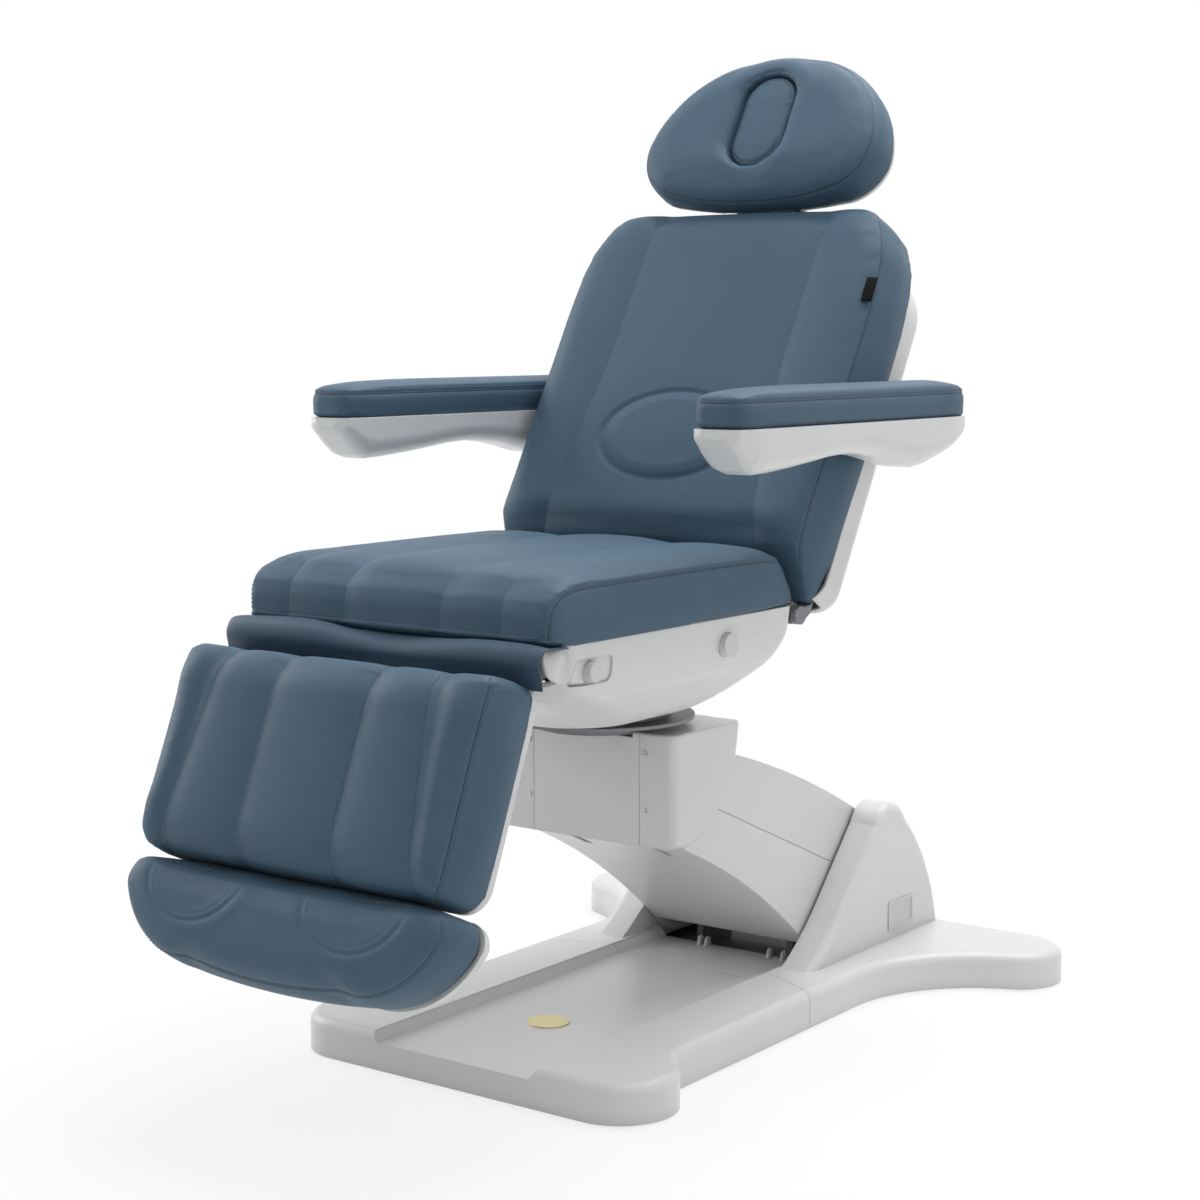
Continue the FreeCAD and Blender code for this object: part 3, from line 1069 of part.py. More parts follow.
def back_panel():
    rear = S.back_pad_z - S.seat_gap
    board_half = S.back_half - 35
    board = (60, S.back_shell_top - 56, rear - S.board_t - 4, rear, board_half)
    lug_x = S.back_lug_in + 12 + 3
    lever = (S.back_lever_x, S.back_lever, math.radians(270 - S.back_angle) + BACK_LEVER_TURN)
    panel_frame("back_frame", board, lug_x + 10, lug_x, (24, 120), lever, BACK)
    shell = tray(S.back_half - 12, 22, S.back_shell_top, S.back_pad_z - S.back_shell_t, rear,
            S.shell_wall, (40, 110))
    slots = [Part.makeBox(36, 110, 80, V(x, 0, rear - 32)) for x in (S.back_lug_in - 6,
            -S.back_lug_in - 30)]
    slots.append(Part.makeBox(40, 60, 80, V(S.back_lever_x - 20, 0, rear - 60)))
    tube_z = rear - S.board_t - 4 - S.seat_gap - S.head_tube_r
    pin = BACK.inverse().multVec(V(0, S.rest_pin_y, S.rest_pin_z))
    for x in (S.head_tube_x, -S.head_tube_x):
        slots.append(Part.makeCylinder(S.head_tube_r + S.seat_gap, 40,
                V(x, S.back_shell_top - 20, tube_z), V(0, 1, 0)))
    for side in (1, -1):
        slots.append(Part.makeCylinder(S.rest_pin_r + S.seat_gap, 60,
                V(side * (S.back_half - 40), pin.y, pin.z), V(side, 0, 0)))
    node(solid("back_shell", shell.cut(slots), BACK), "back_shell")
    tubes = []
    for x in (S.head_tube_x, -S.head_tube_x):
        tube = Part.makeCylinder(S.head_tube_r, 290, V(x, S.back_shell_top - 278, tube_z), V(0, 1, 0))
        tubes.append(tube.cut(Part.makeCylinder(S.head_rod_r + S.running_gap, 320,
                V(x, S.back_shell_top - 268, tube_z), V(0, 1, 0))))
    node(solid("head_tubes", Part.makeCompound(tubes), BACK), "head_tubes")
    block_top = rear - S.board_t - 4 - S.seat_gap
    pivots = []
    for side in (1, -1):
        start = 0.7 * S.back_half
        length = S.rest_x - start
        post = Part.makeCylinder(S.rest_pin_r, length, V(side * start, pin.y, pin.z), V(side, 0, 0))
        low_x = start if side > 0 else -start - 50
        block = Part.makeBox(50, 50, block_top - pin.z + 16, V(low_x, pin.y - 25, pin.z - 16))
        pivots.append(post.fuse(block).removeSplitter())
    node(solid("arm_pivots", Part.makeCompound(pivots), BACK), "arm_pivots")
    z0 = S.back_pad_z
    z1 = z0 + S.back_pad_t
    low = S.back_low
    front = low + S.back_lean
    top = S.back_len
    rows = (
        (low, 22, 3, 90, 0.6), (low + 0.5 * S.back_lean, 14, 0, 50, 2), (front, 8, 0, 12, 5),
            (front + 40, 4, 0, 0, 7),
        (front + 220, 0, 0, 0, 8), (top - 190, 0, 0, 0, 8), (top - 100, 8, 0, 1, 7),
            (top - 40, 30, 0, 5, 6),
        (top - 10, 62, 2, 14, 4), (top, 86, 14, 30, 1),
    )
    wires = []
    for y, narrow, rise, drop, crown in fair(rows):
        half = S.back_half - narrow
        up = min(1, max(0, (y - low) / (0.55 * (top - low))))
        channel = (S.back_channel_low + (S.back_channel_high - S.back_channel_low) * up)
        channel *= min(1, (half - 20) / (S.back_half - 60))
        wires.append(pillow_section(y, half, z0 + rise, z1 - drop, 7, (crown, 0.7 * crown, crown),
                ((channel, -0.3 * crown),)))
    node(solid("back_cushion", ruled(wires), BACK), "back_cushion")


def headrest():
    rear = S.back_pad_z - S.seat_gap
    tube_z = rear - S.board_t - 4 - S.seat_gap - S.head_tube_r
    y = S.head_hinge
    z = S.head_hinge_z
    pieces = []
    for x in (S.head_tube_x, -S.head_tube_x):
        pieces.append(Part.makeCylinder(S.head_rod_r, y - S.back_shell_top + 240,
                V(x, S.back_shell_top - 240, tube_z), V(0, 1, 0)))
    bar = Part.makeBox(2 * S.head_tube_x + 30, 20, 20, V(-S.head_tube_x - 15, y - 10, tube_z - 10))
    for x in (40, -50):
        pieces.append(Part.makeBox(10, 16, z - tube_z, V(x, y - 8, tube_z)))
        pieces.append(Part.makeCylinder(8, 10, V(x, y, z), X_AXIS))
    pieces.append(Part.makeCylinder(5, 130, V(-65, y, z), X_AXIS))
    node(solid("head_rods", bar.fuse(pieces).removeSplitter(), BACK), "head_rods")
    pad_rear = S.head_pad_z - S.seat_gap
    plate = Part.makeBox(220, 0.55 * (S.head_high - S.head_low), S.board_t,
            V(-110, y + 24, pad_rear - S.board_t))
    ears = []
    for x in (52, -62):
        edges = steps_to_edges((y, z - 10), [
            ((y + 60, pad_rear - 2),), ((y + 26, pad_rear - 2),), ((y, z + 10),),
                ((y - 10, z), (y, z - 10)),
        ])
        ear = stand_up(face_of(edges), x).extrude(V(10, 0, 0))
        ears.append(ear.cut(Part.makeCylinder(5 + S.running_gap, 40, V(x - 10, y, z), X_AXIS)))
    node(solid("headrest_frame", plate.fuse(ears).removeSplitter(), BACK), "headrest_frame")
    shell = Part.makeLoft([head_wire(16, S.head_pad_z - S.shell_t),
            head_wire(6, S.head_pad_z - 0.5 * S.shell_t),
                           head_wire(4, pad_rear)], True, False)
    room = Part.makeLoft([head_wire(20, S.head_pad_z - S.shell_t + S.shell_wall),
            head_wire(9, pad_rear + 1)], True, True)
    notch = Part.makeBox(150, 130, 60, V(-75, S.head_low - 40, S.head_pad_z - S.shell_t - 30))
    node(solid("headrest_shell", shell.cut(room).cut(notch), BACK), "headrest_shell")
    layers = ((0.0, 8), (0.14, 1), (0.45, 0), (0.74, 6), (0.92, 22), (1.0, 52))
    wires = [head_wire(inset, S.head_pad_z + level * S.head_pad_t) for level, inset in fair(layers)]
    cushion = ruled(wires)
    hole = plug_block(S.plug_gap, S.head_pad_z - 10, S.head_pad_z + 2 * S.head_pad_t)
    node(solid("headrest_cushion", cushion.cut(hole), BACK), "headrest_cushion")
    plug = plug_block(0, S.head_pad_z, S.head_pad_z + S.head_pad_t - 8)
    crown = [e for e in plug.Edges if e.BoundBox.ZMin > S.head_pad_z + S.head_pad_t - 8.01]
    node(solid("face_plug", plug.makeFillet(14, crown), BACK), "face_plug")


def head_wire(inset, z):
    """The headrest's D outline: a gently curved low edge, full corners and a high round top."""
    half = S.head_half - inset
    low = S.head_low + inset
    top = S.head_high - inset
    tall = top - low
    edges = steps_to_edges((-0.7 * half, low + 0.05 * tall), [
        ((0, low), (0.7 * half, low + 0.05 * tall)),
        ((0.93 * half, low + 0.15 * tall), (half, low + 0.36 * tall)),
        ((0.72 * half, low + 0.8 * tall), (0.26 * half, low + 0.975 * tall)),
        ((0, top), (-0.26 * half, low + 0.975 * tall)),
        ((-0.72 * half, low + 0.8 * tall), (-half, low + 0.36 * tall)),
        ((-0.93 * half, low + 0.15 * tall), (-0.7 * half, low + 0.05 * tall)),
    ])
    wire = Part.Wire([e.toShape() for e in edges])
    wire.translate(V(0, 0, z))
    return wire


def plug_block(grow, z0, z1):
    """The oval face plug, or the hole it sits in."""
    middle = 0.5 * (S.head_low + S.head_high)
    reach = 0.5 * S.plug_len - S.plug_half
    low = (0, middle - reach)
    high = (0, middle + reach)
    block = face_of(stadium(low, S.plug_half + grow, high, S.plug_half + grow)).extrude(V(0, 0, z1 - z0))
    block.translate(V(0, 0, z0))
    return block


# Armrests

def arm_section(x, y, half, high, deep):
    """One section of the arm shell: a flat top and a rounded belly."""
    low = high - deep
    return Part.Wire([
        Part.LineSegment(V(x - half, y, high), V(x + half, y, high)).toShape(),
        Part.LineSegment(V(x + half, y, high), V(x + half, y, high - 0.45 * deep)).toShape(),
        Part.Arc(V(x + half, y, high - 0.45 * deep), V(x + 0.8 * half, y, low + 0.14 * deep),
                V(x + 0.4 * half, y, low)).toShape(),
        Part.LineSegment(V(x + 0.4 * half, y, low), V(x - 0.4 * half, y, low)).toShape(),
        Part.Arc(V(x - 0.4 * half, y, low), V(x - 0.8 * half, y, low + 0.14 * deep),
                V(x - half, y, high - 0.45 * deep)).toShape(),
        Part.LineSegment(V(x - half, y, high - 0.45 * deep), V(x - half, y, high)).toShape(),
    ])


def armrest(side, name):
    x = side * S.rest_x
    high = S.rest_z - S.seat_gap
    front = -S.rest_front
    rear = S.rest_rear
    length = rear - front
    rows = (
        (front, 26, 14), (front + 8, 9, 26), (front + 62, 0, S.front_bulge),
            (front + 0.24 * length, 0, S.front_bulge - 6),
        (front + 0.46 * length, 0, S.waist_bulge), (front + 0.6 * length, 0, S.waist_bulge + 8),
        (front + 0.77 * length, 0, S.rear_bulge), (rear - 70, 0, S.rear_bulge - 16), (rear - 14, 6, 36),
            (rear, 20, 16),
    )
    wires = [arm_section(x, y, S.rest_half - narrow, high, deep) for y, narrow, deep in fair(rows)]
    shell = ruled(wires)
    pocket = Part.makeBox(1.2 * S.rest_half, 0.66 * length, 0.7 * S.waist_bulge)
    pocket.translate(V(x - 0.6 * S.rest_half, front + 60, high - 0.7 * S.waist_bulge + 0.01))
    bore_x = x - side * (S.rest_half + 1)
    bore = Part.makeCylinder(S.rest_pin_r + S.running_gap, S.rest_half + 2,
            V(bore_x, S.rest_pin_y, S.rest_pin_z), V(side, 0, 0))
    node(solid(name + "_shell", shell.cut(pocket).cut(bore)), name + "_shell")
    rows = (
        (front + 1, 24, 6, 18, 1), (front + 8, 9, 1, 7, 2), (front + 30, 2, 0, 3, 3),
            (front + 0.3 * length, 0, 0, 0, 4),
        (rear - 60, 0, 0, 0, 4), (rear - 14, 5, 0, 4, 2), (rear - 1, 18, 5, 16, 1),
    )
    pads = []
    for y, narrow, rise, drop, crown in fair(rows):
        section = pillow_section(y, S.rest_half - narrow - 1, S.rest_z + rise,
                S.rest_z + S.rest_pad_t - drop, 5, (crown,), ())
        section.translate(V(x, 0, 0))
        pads.append(section)
    node(solid(name + "_pad", ruled(pads)), name + "_pad")


def tower_plate():
    """The bare plate with a raised rim on the right tower's outer wall."""
    low_y = S.plate_y - 0.5 * S.plate_w
    low_z = S.plate_z - 0.5 * S.plate_h
    plate = Part.makeBox(2, S.plate_w, S.plate_h, V(S.tower_out, low_y, low_z))
    plate = plate.makeFillet(4, [e for e in plate.Edges if e.BoundBox.XLength > 1])
    field = Part.makeBox(2, S.plate_w - 2 * S.plate_rim, S.plate_h - 2 * S.plate_rim)
    field.translate(V(S.tower_out + 0.8, low_y + S.plate_rim, low_z + S.plate_rim))
    node(solid("tower_plate", plate.cut(field)), "tower_plate")


os.makedirs("parts", exist_ok=True)
chassis()
base_covers()
tower_plate()
lift_arm()
arm_covers()
lift_link()
lift_drive()
column_head()
hood()
swivel()
seat_frame()
seat_pan()
seat_cushion()
seat_flap()
seat_drives()
leg_panel()
foot_panel()
back_panel()
headrest()
armrest(1, "armrest_right")
armrest(-1, "armrest_left")
doc.recompute()

faults = [o.Name for o in doc.Objects if "Invalid" in o.State or "Error" in o.State]
for piece in NODES:
    if piece.Shape.isNull() or not piece.Shape.isValid() or piece.Shape.Volume <= 0:
        faults.append(piece.Label)
if faults:
    raise SystemExit(f"pieces that failed: {faults}")
for piece in NODES:
    piece.Shape.exportStep(f"parts/{piece.Label}.step")
print(len(NODES), "pieces written")
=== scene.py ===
import bpy
import bmesh
import json
import math
import numpy as np
from mathutils import Matrix, Vector
from mathutils.bvhtree import BVHTree
from mathutils.kdtree import KDTree

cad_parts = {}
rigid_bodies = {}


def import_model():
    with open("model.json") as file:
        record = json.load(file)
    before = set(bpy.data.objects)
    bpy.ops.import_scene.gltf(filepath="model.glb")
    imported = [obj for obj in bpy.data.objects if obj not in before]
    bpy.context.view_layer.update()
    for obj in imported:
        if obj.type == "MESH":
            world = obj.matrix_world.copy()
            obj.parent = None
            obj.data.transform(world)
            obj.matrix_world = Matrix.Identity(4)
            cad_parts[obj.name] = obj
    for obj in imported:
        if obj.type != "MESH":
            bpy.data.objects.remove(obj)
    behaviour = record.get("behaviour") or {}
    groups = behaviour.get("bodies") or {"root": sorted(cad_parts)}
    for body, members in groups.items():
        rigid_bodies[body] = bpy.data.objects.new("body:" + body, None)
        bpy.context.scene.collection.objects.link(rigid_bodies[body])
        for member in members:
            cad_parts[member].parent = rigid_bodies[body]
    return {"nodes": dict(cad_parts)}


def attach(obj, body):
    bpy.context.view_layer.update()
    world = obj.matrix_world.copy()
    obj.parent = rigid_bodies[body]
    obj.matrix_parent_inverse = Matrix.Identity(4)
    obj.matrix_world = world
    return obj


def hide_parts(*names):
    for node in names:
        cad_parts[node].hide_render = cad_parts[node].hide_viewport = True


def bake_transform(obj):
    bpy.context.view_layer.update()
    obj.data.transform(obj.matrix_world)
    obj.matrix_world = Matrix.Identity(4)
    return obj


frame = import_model()
for thing in list(bpy.context.scene.objects):
    if thing.type in {"LIGHT", "CAMERA"} or thing.name == "Cube":
        bpy.data.objects.remove(thing)
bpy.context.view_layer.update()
scene = bpy.context.scene
scene.view_settings.view_transform = "Standard"
nodes = frame["nodes"]

# The back and leg panels have flat frames of their own at their hinges. The scene is in metres, and the
# tables of points are in mm.
WORLD = Matrix.Identity(4)
BACK = Matrix.Translation((0, 0.162, 0.655)) @ Matrix.Rotation(math.radians(60), 4, "X")
LEG = Matrix.Translation((0, -0.466, 0.632)) @ Matrix.Rotation(math.radians(67.5), 4, "X")
MM = 0.001


# Materials

class Paint:
    """A node material with one surface shader, built up line by line."""

    def __init__(self, name, color, rough, **sockets):
        self.material = bpy.data.materials.new(name)
        self.material.use_nodes = True
        self.tree = self.material.node_tree
        self.shader = self.tree.nodes["Principled BSDF"]
        self.shader.inputs["Base Color"].default_value = (*color, 1)
        self.shader.inputs["Roughness"].default_value = rough
        for socket, value in sockets.items():
            self.shader.inputs[socket.replace("_", " ")].default_value = value
        self.place = self.tree.nodes.new("ShaderNodeTexCoord").outputs["Object"]

    def feed(self, socket, value):
        """Links an output to a socket, or sets the socket to a plain value."""
        if hasattr(value, "links"):
            self.tree.links.new(value, socket)
        else:
            socket.default_value = value

    def node(self, kind, **inputs):
        made = self.tree.nodes.new(kind)
        for socket, value in inputs.items():
            self.feed(made.inputs[socket], value)
        return made

    def noise(self, scale, detail=3.0, rough=0.5, stretch=None):
        place = self.place
        if stretch:
            place = self.node("ShaderNodeMapping", Vector=place, Scale=stretch).outputs[0]
        made = self.node("ShaderNodeTexNoise", Vector=place, Scale=scale, Detail=detail, Roughness=rough)
        return made.outputs[0]

    def cells(self, scale, feature):
        made = self.node("ShaderNodeTexVoronoi", Vector=self.place, Scale=scale)
        made.feature = feature
        return made.outputs[0]

    def ramp(self, value, stops):
        made = self.node("ShaderNodeValToRGB", Fac=value)
        bar = made.color_ramp
        while len(bar.elements) < len(stops):
            bar.elements.new(0.5)
        for element, (position, tone) in zip(bar.elements, stops):
            element.position = position
            element.color = (*tone, 1)
        return made.outputs[0]

    def sums(self, operation, a, b):
        made = self.tree.nodes.new("ShaderNodeMath")
        made.operation = operation
        self.feed(made.inputs[0], a)
        self.feed(made.inputs[1], b)
        return made.outputs[0]

    def mix(self, factor, a, b, blend="MIX"):
        made = self.tree.nodes.new("ShaderNodeMix")
        made.data_type = "RGBA"
        made.blend_type = blend
        for index, value in ((0, factor), (6, a), (7, b)):
            self.feed(made.inputs[index], (*value, 1) if isinstance(value, tuple) else value)
        return made.outputs[2]

    def span(self, value, low, high):
        made = self.node("ShaderNodeMapRange", Value=value)
        made.inputs[3].default_value = low
        made.inputs[4].default_value = high
        return made.outputs[0]

    def put(self, socket, value):
        self.tree.links.new(value, self.shader.inputs[socket])
        return self

    def bump(self, layers, round_edges=0.0):
        normal = None
        if round_edges:
            edge = self.tree.nodes.new("ShaderNodeBevel")
            edge.samples = 4
            edge.inputs["Radius"].default_value = round_edges
            normal = edge.outputs[0]
        for height, distance, strength in layers:
            made = self.node("ShaderNodeBump", Height=height, Distance=distance, Strength=strength)
            if normal is not None:
                self.tree.links.new(normal, made.inputs["Normal"])
            normal = made.outputs[0]
        self.tree.links.new(normal, self.shader.inputs["Normal"])
        return self


def shade(text):
    """A colour from its sRGB hex digits."""
    out = []
    for index in (0, 2, 4):
        value = int(text[index:index + 2], 16) / 255
        out.append(value / 12.92 if value <= 0.04045 else ((value + 0.055) / 1.055) ** 2.4)
    return tuple(out)


def leatherette(name, light, dark, grain=1.0):
    paint = Paint(name, light, 0.55, Sheen_Weight=0.06, Sheen_Roughness=0.45, Specular_IOR_Level=0.32)
    paint.shader.inputs["Sheen Tint"].default_value = (*shade("a9bdc9"), 1)
    broad = paint.noise(3.2, 3.0, 0.55)
    pebbles = paint.cells(520.0, "SMOOTH_F1")
    pores = paint.cells(900.0, "DISTANCE_TO_EDGE")
    fine = paint.noise(1500.0, 2.0, 0.6)
    tone = paint.mix(paint.span(broad, 0.0, 1.0), dark, light)
    worn = paint.ramp(paint.noise(11.0, 6.0, 0.62), [(0.56, (0, 0, 0)), (0.75, (0.16, 0.16, 0.16))])
    tone = paint.mix(worn, tone, tuple(min(1.0, 1.32 * c) for c in light))
    crease = paint.ramp(pores, [(0.0, (0.80, 0.80, 0.80)), (0.09, (1, 1, 1))])
    tone = paint.mix(0.55, tone, crease, "MULTIPLY")
    paint.put("Base Color", tone)
    paint.put("Roughness", paint.span(paint.noise(24.0, 5.0, 0.6), 0.47, 0.63))
    paint.bump([
        (paint.noise(14.0, 3.0, 0.5), 0.004, 0.10),
        (pebbles, 0.0007, 0.30 * grain),
        (pores, 0.0004, 0.16 * grain),
        (fine, 0.0002, 0.16 * grain),
    ])
    return paint.material


def moulded(name, light, dark, rough=(0.24, 0.36), edge=0.003, speck=0.10):
    paint = Paint(name, light, rough[0], Specular_IOR_Level=0.45, Coat_Weight=0.06, Coat_Roughness=0.3)
    broad = paint.noise(2.4, 4.0, 0.55)
    streaks = paint.noise(38.0, 8.0, 0.7, (1.0, 1.0, 0.25))
    scuff = paint.ramp(streaks, [(0.62, (0, 0, 0)), (0.80, (0.35, 0.35, 0.35))])
    tone = paint.mix(paint.span(broad, 0.0, 1.0), dark, light)
    tone = paint.mix(scuff, tone, tuple(0.93 * c for c in light))
    # Painted shade: the colour is darkened in hollows and between parts, where the ambient occlusion finds
    # other surfaces near.
    hollow = paint.node("ShaderNodeAmbientOcclusion", Distance=0.035)
    hollow.samples = 6
    painted_hollow_shade = paint.ramp(hollow.outputs["AO"], [(0.18, (0.72, 0.71, 0.69)), (0.75, (1, 1, 1))])
    tone = paint.mix(0.75, tone, painted_hollow_shade, "MULTIPLY")
    paint.put("Base Color", tone)
    paint.put("Roughness", paint.span(paint.noise(60.0, 6.0, 0.65), *rough))
    specks = paint.cells(1400.0, "SMOOTH_F1")
    paint.bump([(paint.noise(9.0, 2.0), 0.003, 0.05), (specks, 0.0003, speck)], edge)
    return paint.material


def metal(name, light, dark, rough, metallic, edge=0.001):
    paint = Paint(name, light, rough[0], Metallic=metallic)
    lines = paint.noise(60.0, 6.0, 0.6, (1.0, 1.0, 30.0))
    paint.put("Base Color", paint.mix(paint.span(paint.noise(18.0, 5.0, 0.6), 0.0, 1.0), dark, light))
    paint.put("Roughness", paint.span(lines, *rough))
    paint.bump([(lines, 0.0004, 0.08), (paint.noise(500.0, 2.0), 0.0002, 0.05)], edge)
    return paint.material


def thread(name, light):
    paint = Paint(name, light, 0.7, Sheen_Weight=0.2)
    twist = paint.noise(900.0, 2.0, 0.5, (1.0, 1.0, 3.0))
    paint.put("Base Color", paint.mix(paint.span(twist, 0.0, 1.0), tuple(0.7 * c for c in light), light))
    paint.bump([(twist, 0.0003, 0.3)])
    return paint.material


def woven(name, light, dark):
    paint = Paint(name, light, 0.85, Specular_IOR_Level=0.15)
    across = paint.node("ShaderNodeTexWave", Vector=paint.place, Scale=330.0, Distortion=0.4)
    along = paint.node("ShaderNodeTexWave", Vector=paint.place, Scale=330.0, Distortion=0.4)
    along.bands_direction = "Z"
    weave = paint.sums("MULTIPLY", across.outputs["Fac"], along.outputs["Fac"])
    paint.put("Base Color", paint.mix(weave, dark, light))
    paint.bump([(weave, 0.0006, 0.5)])
    return paint.material


BLUE_LIGHT = shade("466073")
BLUE_DARK = shade("3e5669")
finish = {
    "leatherette": leatherette("chair_leatherette", BLUE_LIGHT, BLUE_DARK),
    "flap_cloth": leatherette("chair_flap_cloth", shade("43596b"), shade("3a4f61"), 0.7),
    "white_shell": moulded("chair_white_shell", shade("dfdfde"), shade("d6d6d5")),
    "grey_trim": moulded("chair_grey_trim", shade("d9d9d8"), shade("cdcdcc"), (0.4, 0.5), 0.002),
    "name_plate": moulded("chair_plate", shade("d3d3d3"), shade("cacaca"), (0.3, 0.4), 0.0006),
    "painted_steel": metal("chair_painted_steel", shade("8b8d90"), shade("7c7e81"), (0.42, 0.58), 0.15),
    "bright_steel": metal("chair_bright_steel", shade("c9cbcd"), shade("a9abae"), (0.16, 0.3), 1.0),
    "gold_emblem": metal("chair_gold", shade("cfc490"), shade("bfb27c"), (0.24, 0.38), 1.0, 0.0008),
    "drive_casing": moulded("chair_drive_casing", shade("3a3b3d"), shade("2e2f31"), (0.45, 0.6), 0.0015),
    "foot_rubber": moulded("chair_foot_rubber", shade("2b2b2c"), shade("222223"), (0.7, 0.85), 0.001, 0.3),
}
seam_thread = thread("chair_seam_thread", shade("26343f"))
stitch_thread = thread("chair_stitch_thread", shade("54697b"))
tab_weave = woven("chair_tab_weave", shade("17181a"), shade("0b0c0d"))

for name, thing in nodes.items():
    slot_name = thing.data.materials[0].name.split(".")[0]
    thing.data.materials[0] = finish[slot_name]


# Sewn cushions

# The share of the cover's small wrinkles that stays, how far a pad sinks into what carries it (mm), the steps
# of the filling, the rounds that even the cover out, and the radius of the cord in a seam.
LOOSE = 0.12
SINK = 2.6
FILL_STEPS = 20
EVEN_ROUNDS = 14
CORD = 0.0008
# Along a stitch: the share of its length, its width and its rise over the cover.
STITCH = ((-0.5, 0.25, -0.5), (-0.3, 0.9, 0.25), (0.0, 1.0, 0.5), (0.3, 0.9, 0.25), (0.5, 0.25, -0.5))
STITCH_SIDES = 5


def mesh_of(obj):
    """The evaluated mesh of an object as new mesh data."""
    bpy.context.view_layer.update()
    graph = bpy.context.evaluated_depsgraph_get()
    return bpy.data.meshes.new_from_object(obj.evaluated_get(graph))


def swap_mesh(obj, mesh):
    """Gives an object new mesh data and clears its modifiers."""
    old = obj.data
    obj.modifiers.clear()
    obj.data = mesh
    bpy.data.meshes.remove(old)


def points_of(mesh):
    flat = np.empty(3 * len(mesh.vertices), np.float32)
    mesh.vertices.foreach_get("co", flat)
    return flat.reshape(-1, 3).astype(float)


def normals_of(mesh):
    flat = np.empty(3 * len(mesh.vertices), np.float32)
    mesh.vertex_normals.foreach_get("vector", flat)
    return flat.reshape(-1, 3).astype(float)


def set_points(mesh, points):
    mesh.vertices.foreach_set("co", points.astype(np.float32).ravel())
    mesh.update()


def to_local(points, place):
    inverse = np.array(place.inverted(), float)
    return points @ inverse[:3, :3].T + inverse[:3, 3]


def start_form(name, node, voxel, smooth, shrink):
    """A closed even mesh of the solid that the cushion stands for, a little smaller than it."""
    data = nodes[node].data.copy()
    work = bmesh.new()
    work.from_mesh(data)
    bmesh.ops.remove_doubles(work, verts=work.verts, dist=2e-5)
    work.to_mesh(data)
    work.free()
    obj = bpy.data.objects.new(name, data)
    scene.collection.objects.link(obj)
    remesh = obj.modifiers.new("even", "REMESH")
    remesh.mode = "VOXEL"
    remesh.voxel_size = voxel
    even = obj.modifiers.new("relax", "SMOOTH")
    even.factor = 0.5
    even.iterations = smooth
    swap_mesh(obj, mesh_of(obj))
    set_points(obj.data, points_of(obj.data) - shrink * normals_of(obj.data))
    return obj


def swell(obj, place, bed, cap, pressure):
    """Fills the cover with air: its panels puff up, while the bed stays on what carries it."""
    start = points_of(obj.data)
    held = obj.vertex_groups.new(name="bed")
    low = to_local(start, place)[:, 2]
    held.add([int(i) for i in np.nonzero(low < bed)[0]], 1.0, "REPLACE")
    cloth = obj.modifiers.new("cover", "CLOTH")
    cloth.settings.quality = 4
    cloth.settings.mass = 0.4
    cloth.settings.tension_stiffness = 18
    cloth.settings.compression_stiffness = 12
    cloth.settings.bending_stiffness = 1.2
    cloth.settings.use_pressure = True
    cloth.settings.uniform_pressure_force = pressure
    cloth.settings.effector_weights.gravity = 0
    cloth.settings.vertex_group_mass = "bed"
    cloth.collision_settings.use_collision = False
    cloth.point_cache.frame_start = 1
    cloth.point_cache.frame_end = FILL_STEPS
    for moment in range(1, FILL_STEPS + 1):
        scene.frame_set(moment)
        bpy.context.view_layer.update()
    puffed = mesh_of(obj)
    scene.frame_set(1)
    ways = normals_of(obj.data)
    swap_mesh(obj, puffed)
    obj.vertex_groups.clear()
    move = points_of(obj.data) - start
    rise = np.clip(np.sum(move * ways, axis=1), -cap, cap)
    even = even_out(obj.data, rise, EVEN_ROUNDS)
    set_points(obj.data, start + (even + LOOSE * (rise - even))[:, None] * ways)


def even_out(mesh, values, rounds):
    """Averages a value over each point's neighbours, so that the cover's small wrinkles run out."""
    ends = np.empty(2 * len(mesh.edges), np.int32)
    mesh.edges.foreach_get("vertices", ends)
    ends = ends.reshape(-1, 2)
    count = np.bincount(ends.ravel(), minlength=len(values))
    for turn in range(rounds):
        total = np.bincount(ends[:, 0], values[ends[:, 1]], len(values))
        total += np.bincount(ends[:, 1], values[ends[:, 0]], len(values))
        values = 0.5 * values + 0.5 * total / np.maximum(count, 1)
    return values


def refine(obj, levels):
    sub = obj.modifiers.new("fine", "SUBSURF")
    sub.levels = levels
    sub.render_levels = levels
    swap_mesh(obj, mesh_of(obj))
    obj.data.polygons.foreach_set("use_smooth", [True] * len(obj.data.polygons))


class Seam:
    """A sewn line found by casting rays at the cushion, so that it always lies on the cover.

    The groove has a depth and a width, and a tufted channel also a wide valley (depth, width). A cord may lie
    in the groove, and a row of stitches beside it, at a distance to its left or right.
    """

    def __init__(self, rays, depth=0.0016, width=0.0035, cord=True, stitch=0.0, fade=None, valley=None):
        self.rays = rays
        self.depth = depth
        self.width = width
        self.cord = cord
        self.stitch = stitch
        self.fade = fade
        self.valley = valley


def between(rows, i, t):
    """A smooth curve through the rows: the point at share t of the way from row i to the next."""
    a, b = rows[i], rows[i + 1]
    m = 0.5 * (b - rows[max(0, i - 1)])
    n = 0.5 * (rows[min(len(rows) - 1, i + 2)] - a)
    return ((1 + 2 * t) * (1 - t) ** 2 * a + t * (1 - t) ** 2 * m
            + t * t * (3 - 2 * t) * b + t * t * (t - 1) * n)


def even_rays(controls, pitch=0.002):
    """Control rays ((origin, direction) in mm) joined by a smooth curve and sampled evenly."""
    spots = [np.array(o, float) * MM for o, d in controls]
    ways = [np.array(d, float) for o, d in controls]
    out = []
    for i in range(len(spots) - 1):
        gap = np.linalg.norm(spots[i + 1] - spots[i])
        parts = max(2, int(gap / pitch))
        for k in range(parts):
            out.append([between(spots, i, k / parts), between(ways, i, k / parts)])
    out.append([spots[-1], ways[-1]])
    return out


